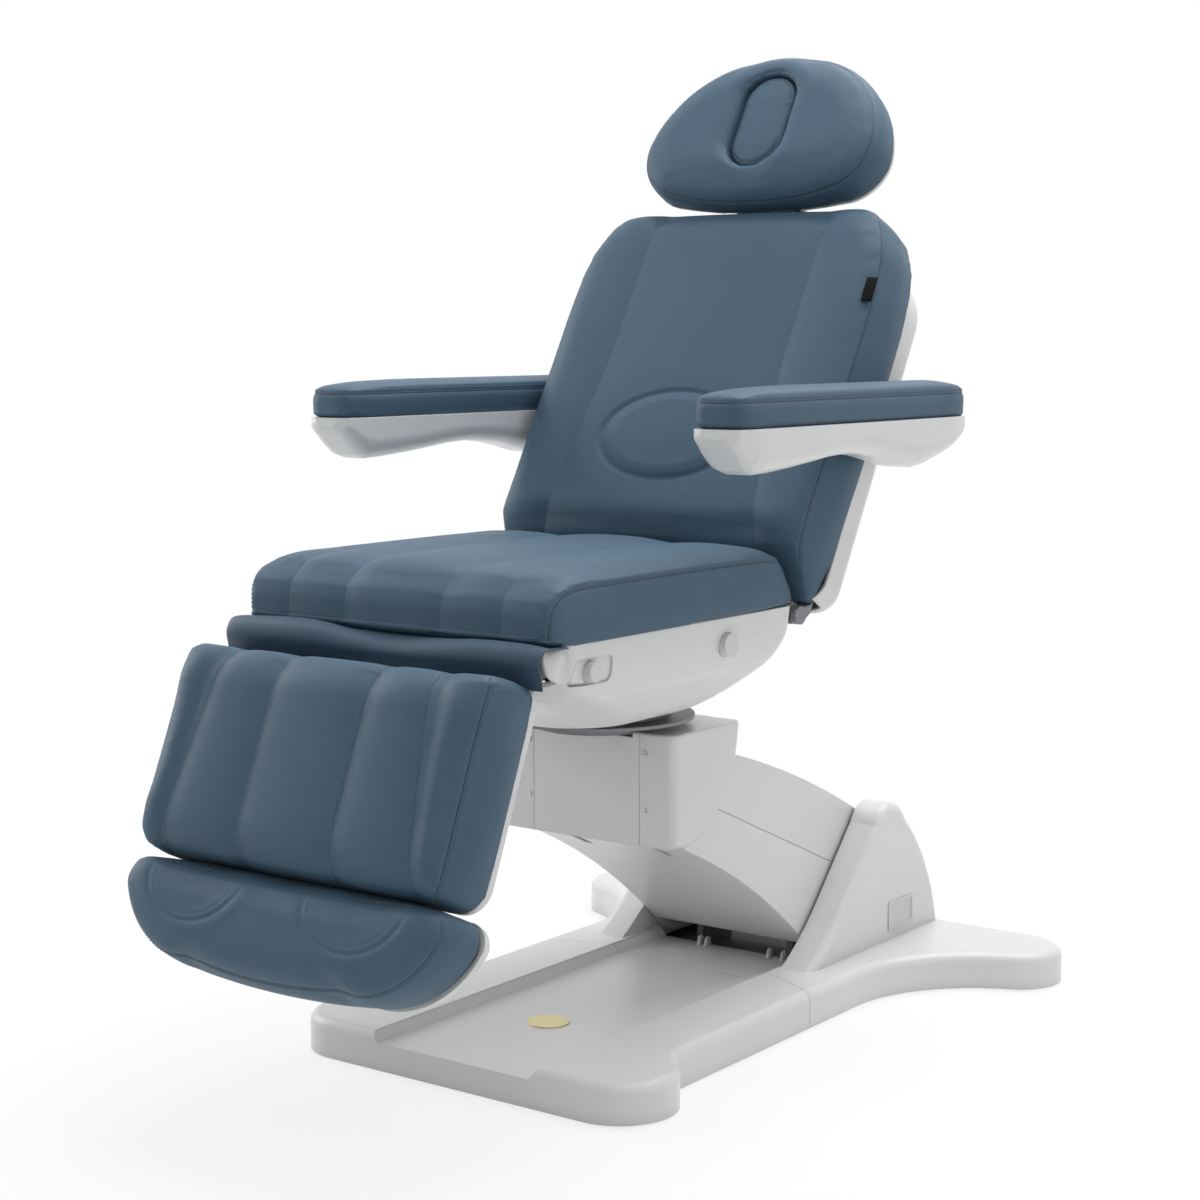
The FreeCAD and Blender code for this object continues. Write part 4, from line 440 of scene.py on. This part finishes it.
def cast(rays, tree, place):
    """Where the rays meet the cover: points and normals in world axes, in order."""
    turn = place.to_3x3()
    found = []
    for spot, way in rays:
        way = turn @ Vector(way).normalized()
        hit = tree.ray_cast(place @ Vector(spot) - 0.15 * way, way, 0.5)
        if hit[0] is not None:
            found.append((hit[0], hit[1]))
    return found


def smooth_line(found, rounds):
    """Evens out the small jumps that a mesh of facets leaves in a line on it."""
    points = np.array([p for p, n in found])
    ways = np.array([n for p, n in found])
    for turn in range(rounds):
        points[1:-1] = 0.25 * points[:-2] + 0.5 * points[1:-1] + 0.25 * points[2:]
        ways[1:-1] = 0.25 * ways[:-2] + 0.5 * ways[1:-1] + 0.25 * ways[2:]
    ways /= np.linalg.norm(ways, axis=1)[:, None]
    return points, ways


def press(obj, lines):
    """Draws the cover in along its seams: a narrow groove, and a soft valley where a channel is tufted."""
    points = points_of(obj.data)
    ways = normals_of(obj.data)
    total = np.zeros(len(points))
    for seam, (on, up) in lines:
        reach = 3.2 * max(seam.width, seam.valley[1] if seam.valley else 0)
        tree = KDTree(len(on))
        for index, point in enumerate(on):
            tree.insert(point, index)
        tree.balance()
        low, high = on.min(0) - reach, on.max(0) + reach
        near = np.nonzero(np.all((points > low) & (points < high), axis=1))[0]
        count = len(on)
        for v in near:
            spot, index, gap = tree.find(points[v])
            if gap > reach or float(np.dot(ways[v], up[index])) < 0.2:
                continue
            along = index / max(1, count - 1)
            weight = seam.fade(along) if seam.fade else 1.0
            pull = seam.depth * math.exp(-(gap / seam.width) ** 2)
            if seam.valley:
                pull += seam.valley[0] * math.exp(-(gap / seam.valley[1]) ** 2)
            total[v] = max(total[v], weight * pull)
    set_points(obj.data, points - total[:, None] * ways)


def sleeve(rings, sides):
    """Faces of a closed tube through rings of points, each given by its first point."""
    faces = []
    for a, b in zip(rings, rings[1:]):
        for k in range(sides):
            after = (k + 1) % sides
            faces.append((a + k, a + after, b + after, b + k))
    faces.append(tuple(rings[0] + k for k in reversed(range(sides))))
    faces.append(tuple(rings[-1] + k for k in range(sides)))
    return faces


def tubes(name, lines, radius, material, body, sides=6):
    """Thin cords along lines of points with normals, sunk half into the cover."""
    verts, faces = [], []
    for points, ways in lines:
        along = np.gradient(points, axis=0)
        along /= np.maximum(np.linalg.norm(along, axis=1), 1e-9)[:, None]
        side = np.cross(along, ways)
        side /= np.maximum(np.linalg.norm(side, axis=1), 1e-9)[:, None]
        first = len(verts)
        for p, n, s in zip(points, ways, side):
            for k in range(sides):
                a = 2 * math.pi * k / sides
                verts.append(p + radius * (math.cos(a) * s + (math.sin(a) - 0.1) * n))
        faces += sleeve([first + i * sides for i in range(len(points))], sides)
    return finish_mesh(name, verts, faces, material, body)


def stitches(name, lines, material, body, length=0.0042, pitch=0.0062, radius=0.0007):
    """Single stitches along lines: small rounded dashes that dip into the cover at both ends."""
    verts, faces = [], []
    for points, ways in lines:
        gaps = np.linalg.norm(np.diff(points, axis=0), axis=1)
        travel = np.concatenate([[0], np.cumsum(gaps)])
        count = int(travel[-1] / pitch)
        for index in range(count):
            middle = (index + 0.5) * pitch
            rings = []
            for share, wide, rise in STITCH:
                at = middle + share * length
                p = np.array([np.interp(at, travel, points[:, c]) for c in range(3)])
                n = np.array([np.interp(at, travel, ways[:, c]) for c in range(3)])
                q = np.array([np.interp(at + 0.0005, travel, points[:, c]) for c in range(3)])
                t = q - p
                t /= max(np.linalg.norm(t), 1e-9)
                s = np.cross(t, n)
                rings.append(len(verts))
                for k in range(STITCH_SIDES):
                    a = 2 * math.pi * k / STITCH_SIDES
                    verts.append(p + radius * (wide * (math.cos(a) * s + math.sin(a) * n) + rise * n))
            faces += sleeve(rings, STITCH_SIDES)
    return finish_mesh(name, verts, faces, material, body)


def finish_mesh(name, verts, faces, material, body):
    """A smooth-shaded piece of its own, which rides on a body where one is named."""
    data = bpy.data.meshes.new(name)
    data.from_pydata([tuple(v) for v in verts], [], faces)
    data.polygons.foreach_set("use_smooth", [True] * len(data.polygons))
    data.materials.append(material)
    data.update()
    obj = bpy.data.objects.new(name, data)
    scene.collection.objects.link(obj)
    if body:
        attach(obj, body)
    return obj


def tree_of(mesh):
    points = [tuple(p) for p in points_of(mesh)]
    return BVHTree.FromPolygons(points, [tuple(f.vertices) for f in mesh.polygons])


def cushion(name, node, body, place, seams, bed, form=None, voxel=0.007, levels=2, smooth=3, shrink=0.0015,
            cap=0.006, pressure=4.0):
    """One upholstered pad: formed, swelled, shaped, sewn, and stitched."""
    obj = start_form(name, node, voxel, smooth, shrink)
    swell(obj, place, bed, cap, pressure)
    refine(obj, levels)
    points = points_of(obj.data)
    local = to_local(points, place)
    ways = normals_of(obj.data)
    front = ways @ np.array(place.to_3x3(), float)
    rise = SINK * np.clip((-front[:, 2] - 0.1) / 0.4, 0, 1)
    if form:
        rise = rise + form(local / MM, front)
    set_points(obj.data, points + rise[:, None] * MM * ways)
    tree = tree_of(obj.data)
    lines = [(seam, smooth_line(cast(seam.rays, tree, place), 10)) for seam in seams]
    press(obj, lines)
    tree = tree_of(obj.data)
    cords, dashes = [], []
    for seam in seams:
        on, up = smooth_line(cast(seam.rays, tree, place), 10)
        if seam.cord:
            cords.append((on, up))
        if seam.stitch:
            along = np.gradient(on, axis=0)
            side = np.cross(along, up)
            side /= np.maximum(np.linalg.norm(side, axis=1), 1e-9)[:, None]
            shifted = []
            for p, n, s in zip(on, up, side):
                hit = tree.find_nearest(Vector(p + seam.stitch * s))
                if hit[0] is not None:
                    shifted.append((hit[0], hit[1]))
            dashes.append(smooth_line(shifted, 3))
    obj.data.materials.clear()
    obj.data.materials.append(finish["leatherette"])
    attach(obj, body)
    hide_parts(node)
    if cords:
        tubes(name + "_seams", cords, CORD, seam_thread, body)
    if dashes:
        stitches(name + "_stitches", dashes, stitch_thread, body)
    return obj


def both_sides(controls):
    """The same seam on the other side of the middle plane."""
    return [controls, [((-o[0], o[1], o[2]), (-d[0], d[1], d[2])) for o, d in controls]]


def bell(value, middle, width):
    return np.exp(-((value - middle) / width) ** 2)


def step(value, low, high):
    t = np.clip((value - low) / (high - low), 0, 1)
    return t * t * (3 - 2 * t)


# Seat

# Loose creases on the seat: middle x and y, turn, length and depth, in mm and radians.
SEAT_CREASES = ((-40, -150, 0.5, 60, 0.9), (10, -175, -0.35, 55, 0.8), (60, -120, 0.25, 45, 0.6),
                (-150, -60, 0.8, 50, 0.5), (150, 20, -0.6, 45, 0.5))


def seat_form(p, n):
    """Broad dished middle and a few loose creases on the seat's top."""
    x, y = p[:, 0], p[:, 1]
    top = np.clip(n[:, 2], 0, 1)
    dish = -2.5 * np.exp(-(x / 120) ** 2 - ((y + 120) / 150) ** 2)
    crease = np.zeros(len(p))
    for cx, cy, turn, long, deep in SEAT_CREASES:
        u = (x - cx) * math.cos(turn) + (y - cy) * math.sin(turn)
        v = -(x - cx) * math.sin(turn) + (y - cy) * math.cos(turn)
        fold = np.exp(-(v / 5) ** 2) - 0.6 * np.exp(-((v - 10) / 7) ** 2)
        crease -= deep * np.exp(-(u / long) ** 2) * fold
    return top * (dish + crease)


# Rays at the seat's right edge, from its rear corner round to the low end of its front: origin and direction.
seat_edge = [
    ((268, 138, 716), (-1, -0.25, -0.35)), ((272, 118, 744), (-0.8, -0.1, -0.6)),
    ((278, 80, 752), (-0.75, 0, -0.65)), ((280, -100, 755), (-0.75, 0, -0.65)),
    ((280, -330, 754), (-0.75, 0, -0.65)), ((278, -408, 750), (-0.75, 0.12, -0.6)),
    ((276, -446, 738), (-0.75, 0.5, -0.4)), ((273, -464, 716), (-0.75, 0.65, -0.1)),
    ((272, -468, 694), (-0.75, 0.65, 0)), ((272, -468, 682), (-0.75, 0.65, 0)),
]


def seat_channel(x):
    """A drawn-in line from the seat's front up over its edge, which runs out on the top."""
    rows = ((-480, 686, 0, 1, 0), (-480, 708, 0, 1, -0.1), (-474, 732, 0, 1, -0.45),
            (-456, 750, 0, 0.8, -0.8), (-420, 760, 0, 0.2, -1), (-340, 762, 0, 0, -1),
            (-260, 762, 0, 0, -1), (-180, 762, 0, 0, -1))
    return [((x, y, z), (a, b, c)) for y, z, a, b, c in rows]


def channel_fade(along):
    return 1.0 if along < 0.4 else max(0.0, 1 - (along - 0.4) / 0.6) ** 1.5


seat_seams = [Seam(even_rays(c), stitch=0.006 if c is seat_edge else -0.006) for c in both_sides(seat_edge)]
for x, deep in ((86, 0.0030), (190, 0.0024)):
    for c in both_sides(seat_channel(x)):
        seat_seams.append(Seam(even_rays(c), 0.0008, 0.003, False, 0, channel_fade, (deep, 0.020)))
cushion("seat_upholstery", "seat_cushion", "seat", WORLD, seat_seams, 0.680, seat_form)


# Back

# Up the back: height, half width and front level.
BACK_ROWS = np.array((
    (18, 278, 11), (44, 286, 51), (71, 292, 89), (111, 296, 101), (291, 300, 101),
    (481, 300, 101), (571, 292, 100), (631, 270, 96), (661, 238, 87), (671, 214, 71),
), float)
LUMBAR_Y = 242
LUMBAR_HALF = (128, 76)


def back_half(y):
    """Half width and front level of the back at a height."""
    return np.interp(y, BACK_ROWS[:, 0], BACK_ROWS[:, 1]), np.interp(y, BACK_ROWS[:, 0], BACK_ROWS[:, 2])


def back_form(p, n):
    """The raised oval lumbar pad with the drawn-in ring around it."""
    x, y = p[:, 0], p[:, 1]
    face = np.clip((n[:, 2] - 0.3) / 0.5, 0, 1)
    ring = np.sqrt((x / LUMBAR_HALF[0]) ** 2 + ((y - LUMBAR_Y) / LUMBAR_HALF[1]) ** 2)
    pad = 4.5 * step(1.0 - ring, 0.0, 0.26) + 2.0 * step(1.0 - ring, 0.1, 1.0)
    groove = -3.8 * bell(ring, 1.02, 0.06) - 0.9 * bell(ring, 1.16, 0.16)
    sag = -2.0 * bell(x, 0, 150) * bell(y, 430, 160)
    end = 5.0 * np.clip((n[:, 1] - 0.15) / 0.5, 0, 1) * step(y, 615, 660)
    return face * (pad + groove + sag) + end


back_edge = []
for y in (58, 76, 100, 140, 200, 280, 380, 470, 530, 566, 596, 620, 642, 656):
    half, front = back_half(y)
    lean = step(np.array(float(y)), 540, 671)
    back_edge.append(((half - 2, y, front - 2), (-1, -0.9 * lean, -0.75)))
back_edge.append(((206, 669, 72), (-0.45, -1, -0.7)))
back_edge += [((x, 673, 72), (0, -1, -0.7)) for x in (150, 100, 50, 0)]
back_channel = []
for y in (50, 70, 92, 120, 170, 230, 300, 370, 430, 500, 560, 610, 640, 656):
    up = min(1, max(0, (y - 18) / (0.55 * 653)))
    half, front = back_half(y)
    x = (205 - 40 * up) * min(1, (half - 20) / 240)
    back_channel.append(((x, y, front + 8), (0, 0.35 if y < 80 else -0.2 if y > 620 else 0, -1)))


def back_fade(along):
    return min(1.0, 0.55 + 2.5 * abs(along - 0.45))


back_seams = [Seam(even_rays(c), stitch=0.005 if c is back_edge else -0.005) for c in both_sides(back_edge)]
for c in both_sides(back_channel):
    back_seams.append(Seam(even_rays(c), 0.0014, 0.003, False, 0, back_fade, (0.0015, 0.014)))
cushion("back_upholstery", "back_cushion", "back", BACK, back_seams, -0.002, back_form)


# Leg panel

# Down the leg panel: height, half width and front level at its edge, and height and front level on its face.
LEG_EDGE_ROWS = ((-26, 262, 106), (-38, 272, 115), (-60, 276, 120), (-110, 277, 122), (-170, 278, 122),
                 (-240, 278, 122), (-280, 277, 121), (-298, 272, 117), (-310, 262, 108))
LEG_FACE_ROWS = ((-22, 98), (-28, 108), (-42, 118), (-80, 125), (-140, 126), (-200, 127), (-260, 127),
                 (-290, 124), (-306, 114), (-315, 96))
leg_edge = []
for y, half, front in LEG_EDGE_ROWS:
    leg_edge.append(((half - 1, y, front - 1), (-1, 0.5 if y < -300 else -0.4 if y > -36 else 0, -0.7)))
leg_edge.append(((252, -318, 86), (-0.7, 1, -0.4)))


def leg_line(top_x, low_x):
    """Rays for a drawn-in line down the leg panel, from one x to another."""
    out = []
    for y, front in LEG_FACE_ROWS:
        down = (y + 18) / -301
        tilt = -0.5 if y > -36 else 0.5 if y < -300 else 0
        out.append(((top_x + (low_x - top_x) * down, y, front), (0, tilt, -1)))
    return out


def leg_form(p, n):
    """The low end stands out a little towards the foot panel, and the upper end towards the seat."""
    low = 2.0 * np.clip((-n[:, 1] - 0.35) / 0.4, 0, 1) * step(-p[:, 1], 290, 316)
    return low + 4.5 * np.clip((n[:, 1] - 0.1) / 0.5, 0, 1) * step(p[:, 1], -70, -30)


leg_seams = [Seam(even_rays(c), stitch=-0.006 if c is leg_edge else 0.006) for c in both_sides(leg_edge)]
for line, deep in ((leg_line(83, 84), 0.0026), (leg_line(180, 226), 0.0024)):
    for c in both_sides(line):
        beside = 0.004 if c is line else -0.004
        leg_seams.append(Seam(even_rays(c), 0.0010, 0.003, False, beside, None, (deep, 0.018)))
cushion("leg_upholstery", "leg_cushion", "leg", LEG, leg_seams, 0.026, leg_form)


# Foot panel

HEEL = (140, -338)
HEEL_HALF = (84, 62)


def foot_form(p, n):
    """Two pressed heel rests that run out over the top edge."""
    x, y = np.abs(p[:, 0]), p[:, 1]
    face = np.clip((n[:, 2] - 0.2) / 0.6, 0, 1)
    ring = np.sqrt(((x - HEEL[0]) / HEEL_HALF[0]) ** 2 + ((y - HEEL[1]) / HEEL_HALF[1]) ** 2)
    low = step(-y, 324, 362)
    dish = -2.0 * step(1.0 - ring, -0.02, 0.40) * (0.35 + 0.65 * low)
    groove = -1.7 * bell(ring, 1.0, 0.055) - 0.5 * bell(ring, 0.86, 0.035)
    line = low * (groove + 0.9 * bell(ring, 1.17, 0.12))
    end = 2.0 * np.clip((n[:, 1] - 0.35) / 0.4, 0, 1) * step(y, -352, -328)
    return face * (dish + line) + end


def ring_rays(centre, level, start, end, tilt, count, reach):
    """Rays from all round towards a centre at one level, between two angles."""
    out = []
    for k in range(count + 1):
        a = math.radians(start + (end - start) * k / count)
        way = (math.cos(a), math.sin(a))
        spot = (centre[0] + way[0] * reach, centre[1] + way[1] * reach, level)
        out.append((spot, (-way[0], -way[1], tilt)))
    return out


def far_rays(controls):
    """Rays given as they are, for outlines that are found from far outside."""
    return [(np.array(o) * MM, np.array(d)) for o, d in controls]


foot_edge = far_rays(ring_rays((0, -372), 103, 18, -198, -0.02, 420, 420))
cushion("foot_upholstery", "foot_cushion", "foot", LEG, [Seam(foot_edge, stitch=-0.005)], 0.026, foot_form,
        voxel=0.006)


# Headrest and face plug

# The face opening is a slot with round ends: its middle up the back, half its straight part, half its width.
FACE_Y = 813.5
FACE_STRAIGHT = 39
FACE_HALF = 51
PLUG_HALF = 41


def head_form(p, n):
    """The cover rolls softly into the face opening."""
    x, y = p[:, 0], p[:, 1]
    face = np.clip((n[:, 2] - 0.2) / 0.6, 0, 1)
    out = np.hypot(x, np.maximum(np.abs(y - FACE_Y) - FACE_STRAIGHT, 0)) - FACE_HALF
    end = 3.0 * np.clip((-n[:, 1] - 0.25) / 0.4, 0, 1) * step(-y, -712, -684)
    roll = -3.0 * np.exp(-(np.maximum(out, 0) / 7) ** 2) + 1.5 * bell(out, 24, 14)
    return face * roll + end


head_edge = []
for spot, way in ring_rays((0, 800), 121, 0, 359, -0.02, 620, 420):
    fall = 20 * float(step(way[1], 0.1, 0.9))
    head_edge.append(((spot[0], spot[1], spot[2] - fall), way))
head_edge = far_rays(head_edge)
head_seam = Seam(head_edge, stitch=-0.005)
cushion("headrest_upholstery", "headrest_cushion", "headrest", BACK, [head_seam], 0.062, head_form,
        voxel=0.006, shrink=0.001, cap=0.004)

plug_ring = []
for k in range(73):
    a = math.radians(5 * k)
    wide = PLUG_HALF * math.cos(a)
    tall = PLUG_HALF * math.sin(a) + (FACE_STRAIGHT if math.sin(a) >= 0 else -FACE_STRAIGHT)
    plug_ring.append(((wide, FACE_Y + tall, 160), (0, 0, -1)))
plug_seam = Seam(even_rays(plug_ring), 0.0012, 0.003, True, -0.004)
cushion("plug_upholstery", "face_plug", "plug", BACK, [plug_seam], 0.062,
        voxel=0.005, shrink=0.0006, cap=0.003)


# Armrests

ARM_X = 353
ARM_Y = (420, 300, 200, 100, 0, -100, -160, -185)
ARM_TURNS = (15, 35, 60, 90, 120, 145, 165)


def arm_end(x, turns, y, reach):
    """Rays round one end of an armrest."""
    out = []
    for turn in turns:
        wide, tall = math.cos(math.radians(turn)), math.sin(math.radians(turn))
        out.append(((x + 50 * wide, y + reach * tall, 984), (-wide, -tall, -0.12)))
    return out


for side, label in ((-1, "left"), (1, "right")):
    x = side * ARM_X
    ring = [((x + 52, y, 985), (-1, 0, -0.12)) for y in ARM_Y]
    ring += arm_end(x, [-turn for turn in ARM_TURNS], -175, 42)
    ring += [((x - 52, y, 985), (1, 0, -0.12)) for y in reversed(ARM_Y)]
    ring += arm_end(x, ARM_TURNS[::-1], 412, 40)
    ring.append(ring[0])
    name = f"armrest_{label}"
    arm_seam = Seam(even_rays(ring), 0.0014, 0.003, True, 0.005)
    cushion(name + "_upholstery", name + "_pad", f"arm_{label}", WORLD, [arm_seam],
            0.954, voxel=0.006, levels=1, shrink=0.001, cap=0.003)


# Flap between the seat and the leg panel

def curve(controls, count):
    """A smooth curve through control points, evenly parted between them."""
    rows = [np.array(c, float) for c in controls]
    out = [between(rows, i, k / count) for i in range(len(rows) - 1) for k in range(count)]
    return out + [rows[-1]]


def grid_faces(rows, cols):
    """Faces of a sheet of rows times cols fields, whose points run along its columns first."""
    out = []
    for i in range(rows):
        for k in range(cols):
            a = i * (cols + 1) + k
            out.append((a, a + 1, a + cols + 2, a + cols + 1))
    return out


# Places from -1, the left end, to 1, with how far the roll stands up and out there, in mm.
FLAP_WAVES = ((-1, 3, -5), (-0.9, 7, 1), (-0.55, 11, 6), (-0.36, 8, 5), (-0.18, 0, 1), (0, -5.5, -4),
              (0.16, -5, -5), (0.37, 1, -2), (0.6, 6, 1), (0.85, 6, 1), (0.95, 4, -1), (1, 1, -4))
FLAP_HALF = 281
FLAP_FIELDS = 90
flap_waves = np.array(curve(FLAP_WAVES, 12))


def flap_points(place):
    """One slice of the flap: out from under the seat, over a loose roll and down behind the leg pad."""
    up = float(np.interp(place, flap_waves[:, 0], flap_waves[:, 1]))
    far = float(np.interp(place, flap_waves[:, 0], flap_waves[:, 2]))
    corner = LEG @ Vector((0, -21 * MM, 22 * MM)) / MM
    controls = [(-437, 671.5), (-464, 671.8 + min(0, 0.3 * up)), (-484, 672.5 + up),
                (-499 - far, 667 + 0.85 * up), (-505 - far, 655 + 0.4 * up), (-500 - 0.5 * far, 640),
                (corner.y, corner.z)]
    return [tuple(c) for c in curve(controls, 5)]


flap_verts = []
for i in range(FLAP_FIELDS + 1):
    place = -1 + 2 * i / FLAP_FIELDS
    slice_rows = flap_points(place)
    for y, z in slice_rows:
        flap_verts.append(Vector((FLAP_HALF * place, y, z)) * MM)
flap_faces = grid_faces(FLAP_FIELDS, len(slice_rows) - 1)
flap = finish_mesh("flap_sheet", flap_verts, flap_faces, finish["flap_cloth"], None)
thick = flap.modifiers.new("thick", "SOLIDIFY")
thick.thickness = 0.0022
thick.offset = 0
soft = flap.modifiers.new("soft", "SUBSURF")
soft.levels = 1
soft.render_levels = 1
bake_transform(flap)
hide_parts("seat_flap")


# Bare woven tab in the right seam of the back

half, front = back_half(500)
tab_verts = []
TAB_ROWS, TAB_COLS = 10, 6
for i in range(TAB_ROWS + 1):
    for k in range(TAB_COLS + 1):
        u, v = i / TAB_ROWS, k / TAB_COLS
        level = front + 0.5 + 3.2 * v ** 0.6 + 0.8 * math.sin(math.pi * u)
        spot = Vector((half - 7 - 17 * v, 482 + 42 * u, level))
        tab_verts.append(BACK @ (spot * MM))
tab = finish_mesh("back_tab", tab_verts, grid_faces(TAB_ROWS, TAB_COLS), tab_weave, "back")
fold = tab.modifiers.new("fold", "SOLIDIFY")
fold.thickness = 0.0016
fold.offset = 0


# Upright plates: cable lugs at the rear end of the deck, and the cheeks that close the pan's front corners

def plates(name, outline, places, half, body):
    """Plates that stand across x, drawn by their (y, z) outline in mm, with softened rims."""
    middle = np.mean(np.array(outline, float), axis=0)
    verts, faces = [], []
    side = len(outline)
    for x in places:
        first = len(verts)
        for across_x, shrink in ((-half, 0.9), (-0.65 * half, 0.0), (0.65 * half, 0.0), (half, 0.9)):
            for y, z in outline:
                way = np.array((y, z)) - middle
                way = way * (1 - shrink / np.linalg.norm(way))
                verts.append(Vector((x + across_x, middle[0] + way[0], middle[1] + way[1])) * MM)
        for row in range(3):
            for k in range(side):
                a, b = first + row * side + k, first + row * side + (k + 1) % side
                faces.append((a, a + side, b + side, b))
        faces.append(tuple(first + k for k in range(side)))
        faces.append(tuple(first + 3 * side + k for k in reversed(range(side))))
    obj = finish_mesh(name, verts, faces, finish["white_shell"], body)


LUG_SIDE = ((373, 43), (394, 43), (394, 46), (392.5, 48), (392, 55), (390, 58), (386, 59.5), (382, 59),
            (379, 57), (378, 54), (377, 48), (375.5, 45.5))
CHEEK_SIDE = ((-426, 622), (-426, 671), (-470, 671), (-475, 669), (-477, 664), (-476, 655), (-472, 645),
              (-465, 636), (-455, 629), (-442, 624))
plates("deck_lugs", LUG_SIDE, (-62, -48, 76, 103), 2.2, "base")
plates("pan_cheeks", CHEEK_SIDE, (-264.5, 264.5), 3.2, "seat")


# Floor, light and camera

# Within the first reach from the middle (m) the floor shows its own shade. At the second it is white.
FLOOR_REACH = (0.7, 1.4)
FLOOR_WHITE = (0.76, 1.0)


def floor_paint():
    """Pale floor that keeps the shadow near the object and runs out to white away from it."""
    paint = Paint("stage_floor", (0.92, 0.92, 0.92), 0.7)
    tree = paint.tree
    path = tree.nodes.new("ShaderNodeLightPath")
    seen = paint.sums("MAXIMUM", path.outputs["Is Camera Ray"], path.outputs["Is Glossy Ray"])
    far = paint.node("ShaderNodeVectorMath", Vector=paint.place)
    far.operation = "LENGTH"
    white = paint.node("ShaderNodeMapRange", Value=far.outputs["Value"])
    white.interpolation_type = "SMOOTHSTEP"
    for index, value in enumerate(FLOOR_REACH + FLOOR_WHITE):
        white.inputs[index + 1].default_value = value
    glow = tree.nodes.new("ShaderNodeEmission")
    glow.inputs["Color"].default_value = (1, 1, 1, 1)
    glow.inputs["Strength"].default_value = 1.0
    blend = tree.nodes.new("ShaderNodeMixShader")
    tree.links.new(paint.sums("MULTIPLY", seen, white.outputs[0]), blend.inputs[0])
    tree.links.new(paint.shader.outputs[0], blend.inputs[1])
    tree.links.new(glow.outputs[0], blend.inputs[2])
    tree.links.new(blend.outputs[0], tree.nodes["Material Output"].inputs["Surface"])
    cloud = paint.span(paint.noise(1.2), 0.0, 1.0)
    paint.put("Base Color", paint.mix(cloud, (0.90, 0.90, 0.90), (0.94, 0.94, 0.94)))
    return paint.material


floor_data = bpy.data.meshes.new("stage_floor")
floor_data.from_pydata([(-30, -30, 0), (30, -30, 0), (30, 30, 0), (-30, 30, 0)], [], [(0, 1, 2, 3)])
floor_data.materials.append(floor_paint())
floor = bpy.data.objects.new("stage_floor", floor_data)
scene.collection.objects.link(floor)

world = bpy.data.worlds.new("studio")
scene.world = world
world.use_nodes = True
tree = world.node_tree
tree.nodes.clear()
path = tree.nodes.new("ShaderNodeLightPath")
seen = tree.nodes.new("ShaderNodeMath")
seen.operation = "MAXIMUM"
tree.links.new(path.outputs["Is Camera Ray"], seen.inputs[0])
tree.links.new(path.outputs["Is Glossy Ray"], seen.inputs[1])
through = tree.nodes.new("ShaderNodeMath")
through.operation = "MAXIMUM"
tree.links.new(seen.outputs[0], through.inputs[0])
tree.links.new(path.outputs["Is Transmission Ray"], through.inputs[1])
white = tree.nodes.new("ShaderNodeBackground")
white.inputs["Color"].default_value = (1, 1, 1, 1)
white.inputs["Strength"].default_value = 1.0
dome = tree.nodes.new("ShaderNodeBackground")
dome.inputs["Color"].default_value = (0.96, 0.98, 1.0, 1)
dome.inputs["Strength"].default_value = 0.38
both_lights = tree.nodes.new("ShaderNodeMixShader")
tree.links.new(through.outputs[0], both_lights.inputs[0])
tree.links.new(dome.outputs[0], both_lights.inputs[1])
tree.links.new(white.outputs[0], both_lights.inputs[2])
out = tree.nodes.new("ShaderNodeOutputWorld")
tree.links.new(both_lights.outputs[0], out.inputs["Surface"])


def lamp(name, spot, aim, size, power):
    data = bpy.data.lights.new(name, "AREA")
    data.shape = "RECTANGLE"
    data.size, data.size_y = size
    data.energy = power
    obj = bpy.data.objects.new(name, data)
    scene.collection.objects.link(obj)
    obj.location = spot
    obj.rotation_euler = (Vector(aim) - Vector(spot)).to_track_quat("-Z", "Y").to_euler()


lamp("key", (0.4, 1.5, 3.9), (0, 0.4, 0.6), (3.0, 3.0), 122)
lamp("fill_front", (0.2, -1.5, 3.9), (0, -0.4, 0.6), (3.0, 3.0), 28)
lamp("fill_left", (-3.4, -0.6, 1.9), (0, 0, 0.6), (2.4, 2.6), 50)
lamp("fill_right", (3.6, 0.2, 1.9), (0, 0, 0.6), (2.4, 2.6), 12)

CAMERA_SPOT = (2.0516, -2.7851, 1.0804)
CAMERA_DOWN = 6.714
CAMERA_ROUND = 36.2687
camera_data = bpy.data.cameras.new("photo_camera")
camera_data.sensor_width = 36
camera_data.lens = 68.86
camera = bpy.data.objects.new("photo_camera", camera_data)
scene.collection.objects.link(camera)
camera.location = CAMERA_SPOT
camera.rotation_euler = (math.radians(90 - CAMERA_DOWN), 0, math.radians(CAMERA_ROUND))
scene.camera = camera
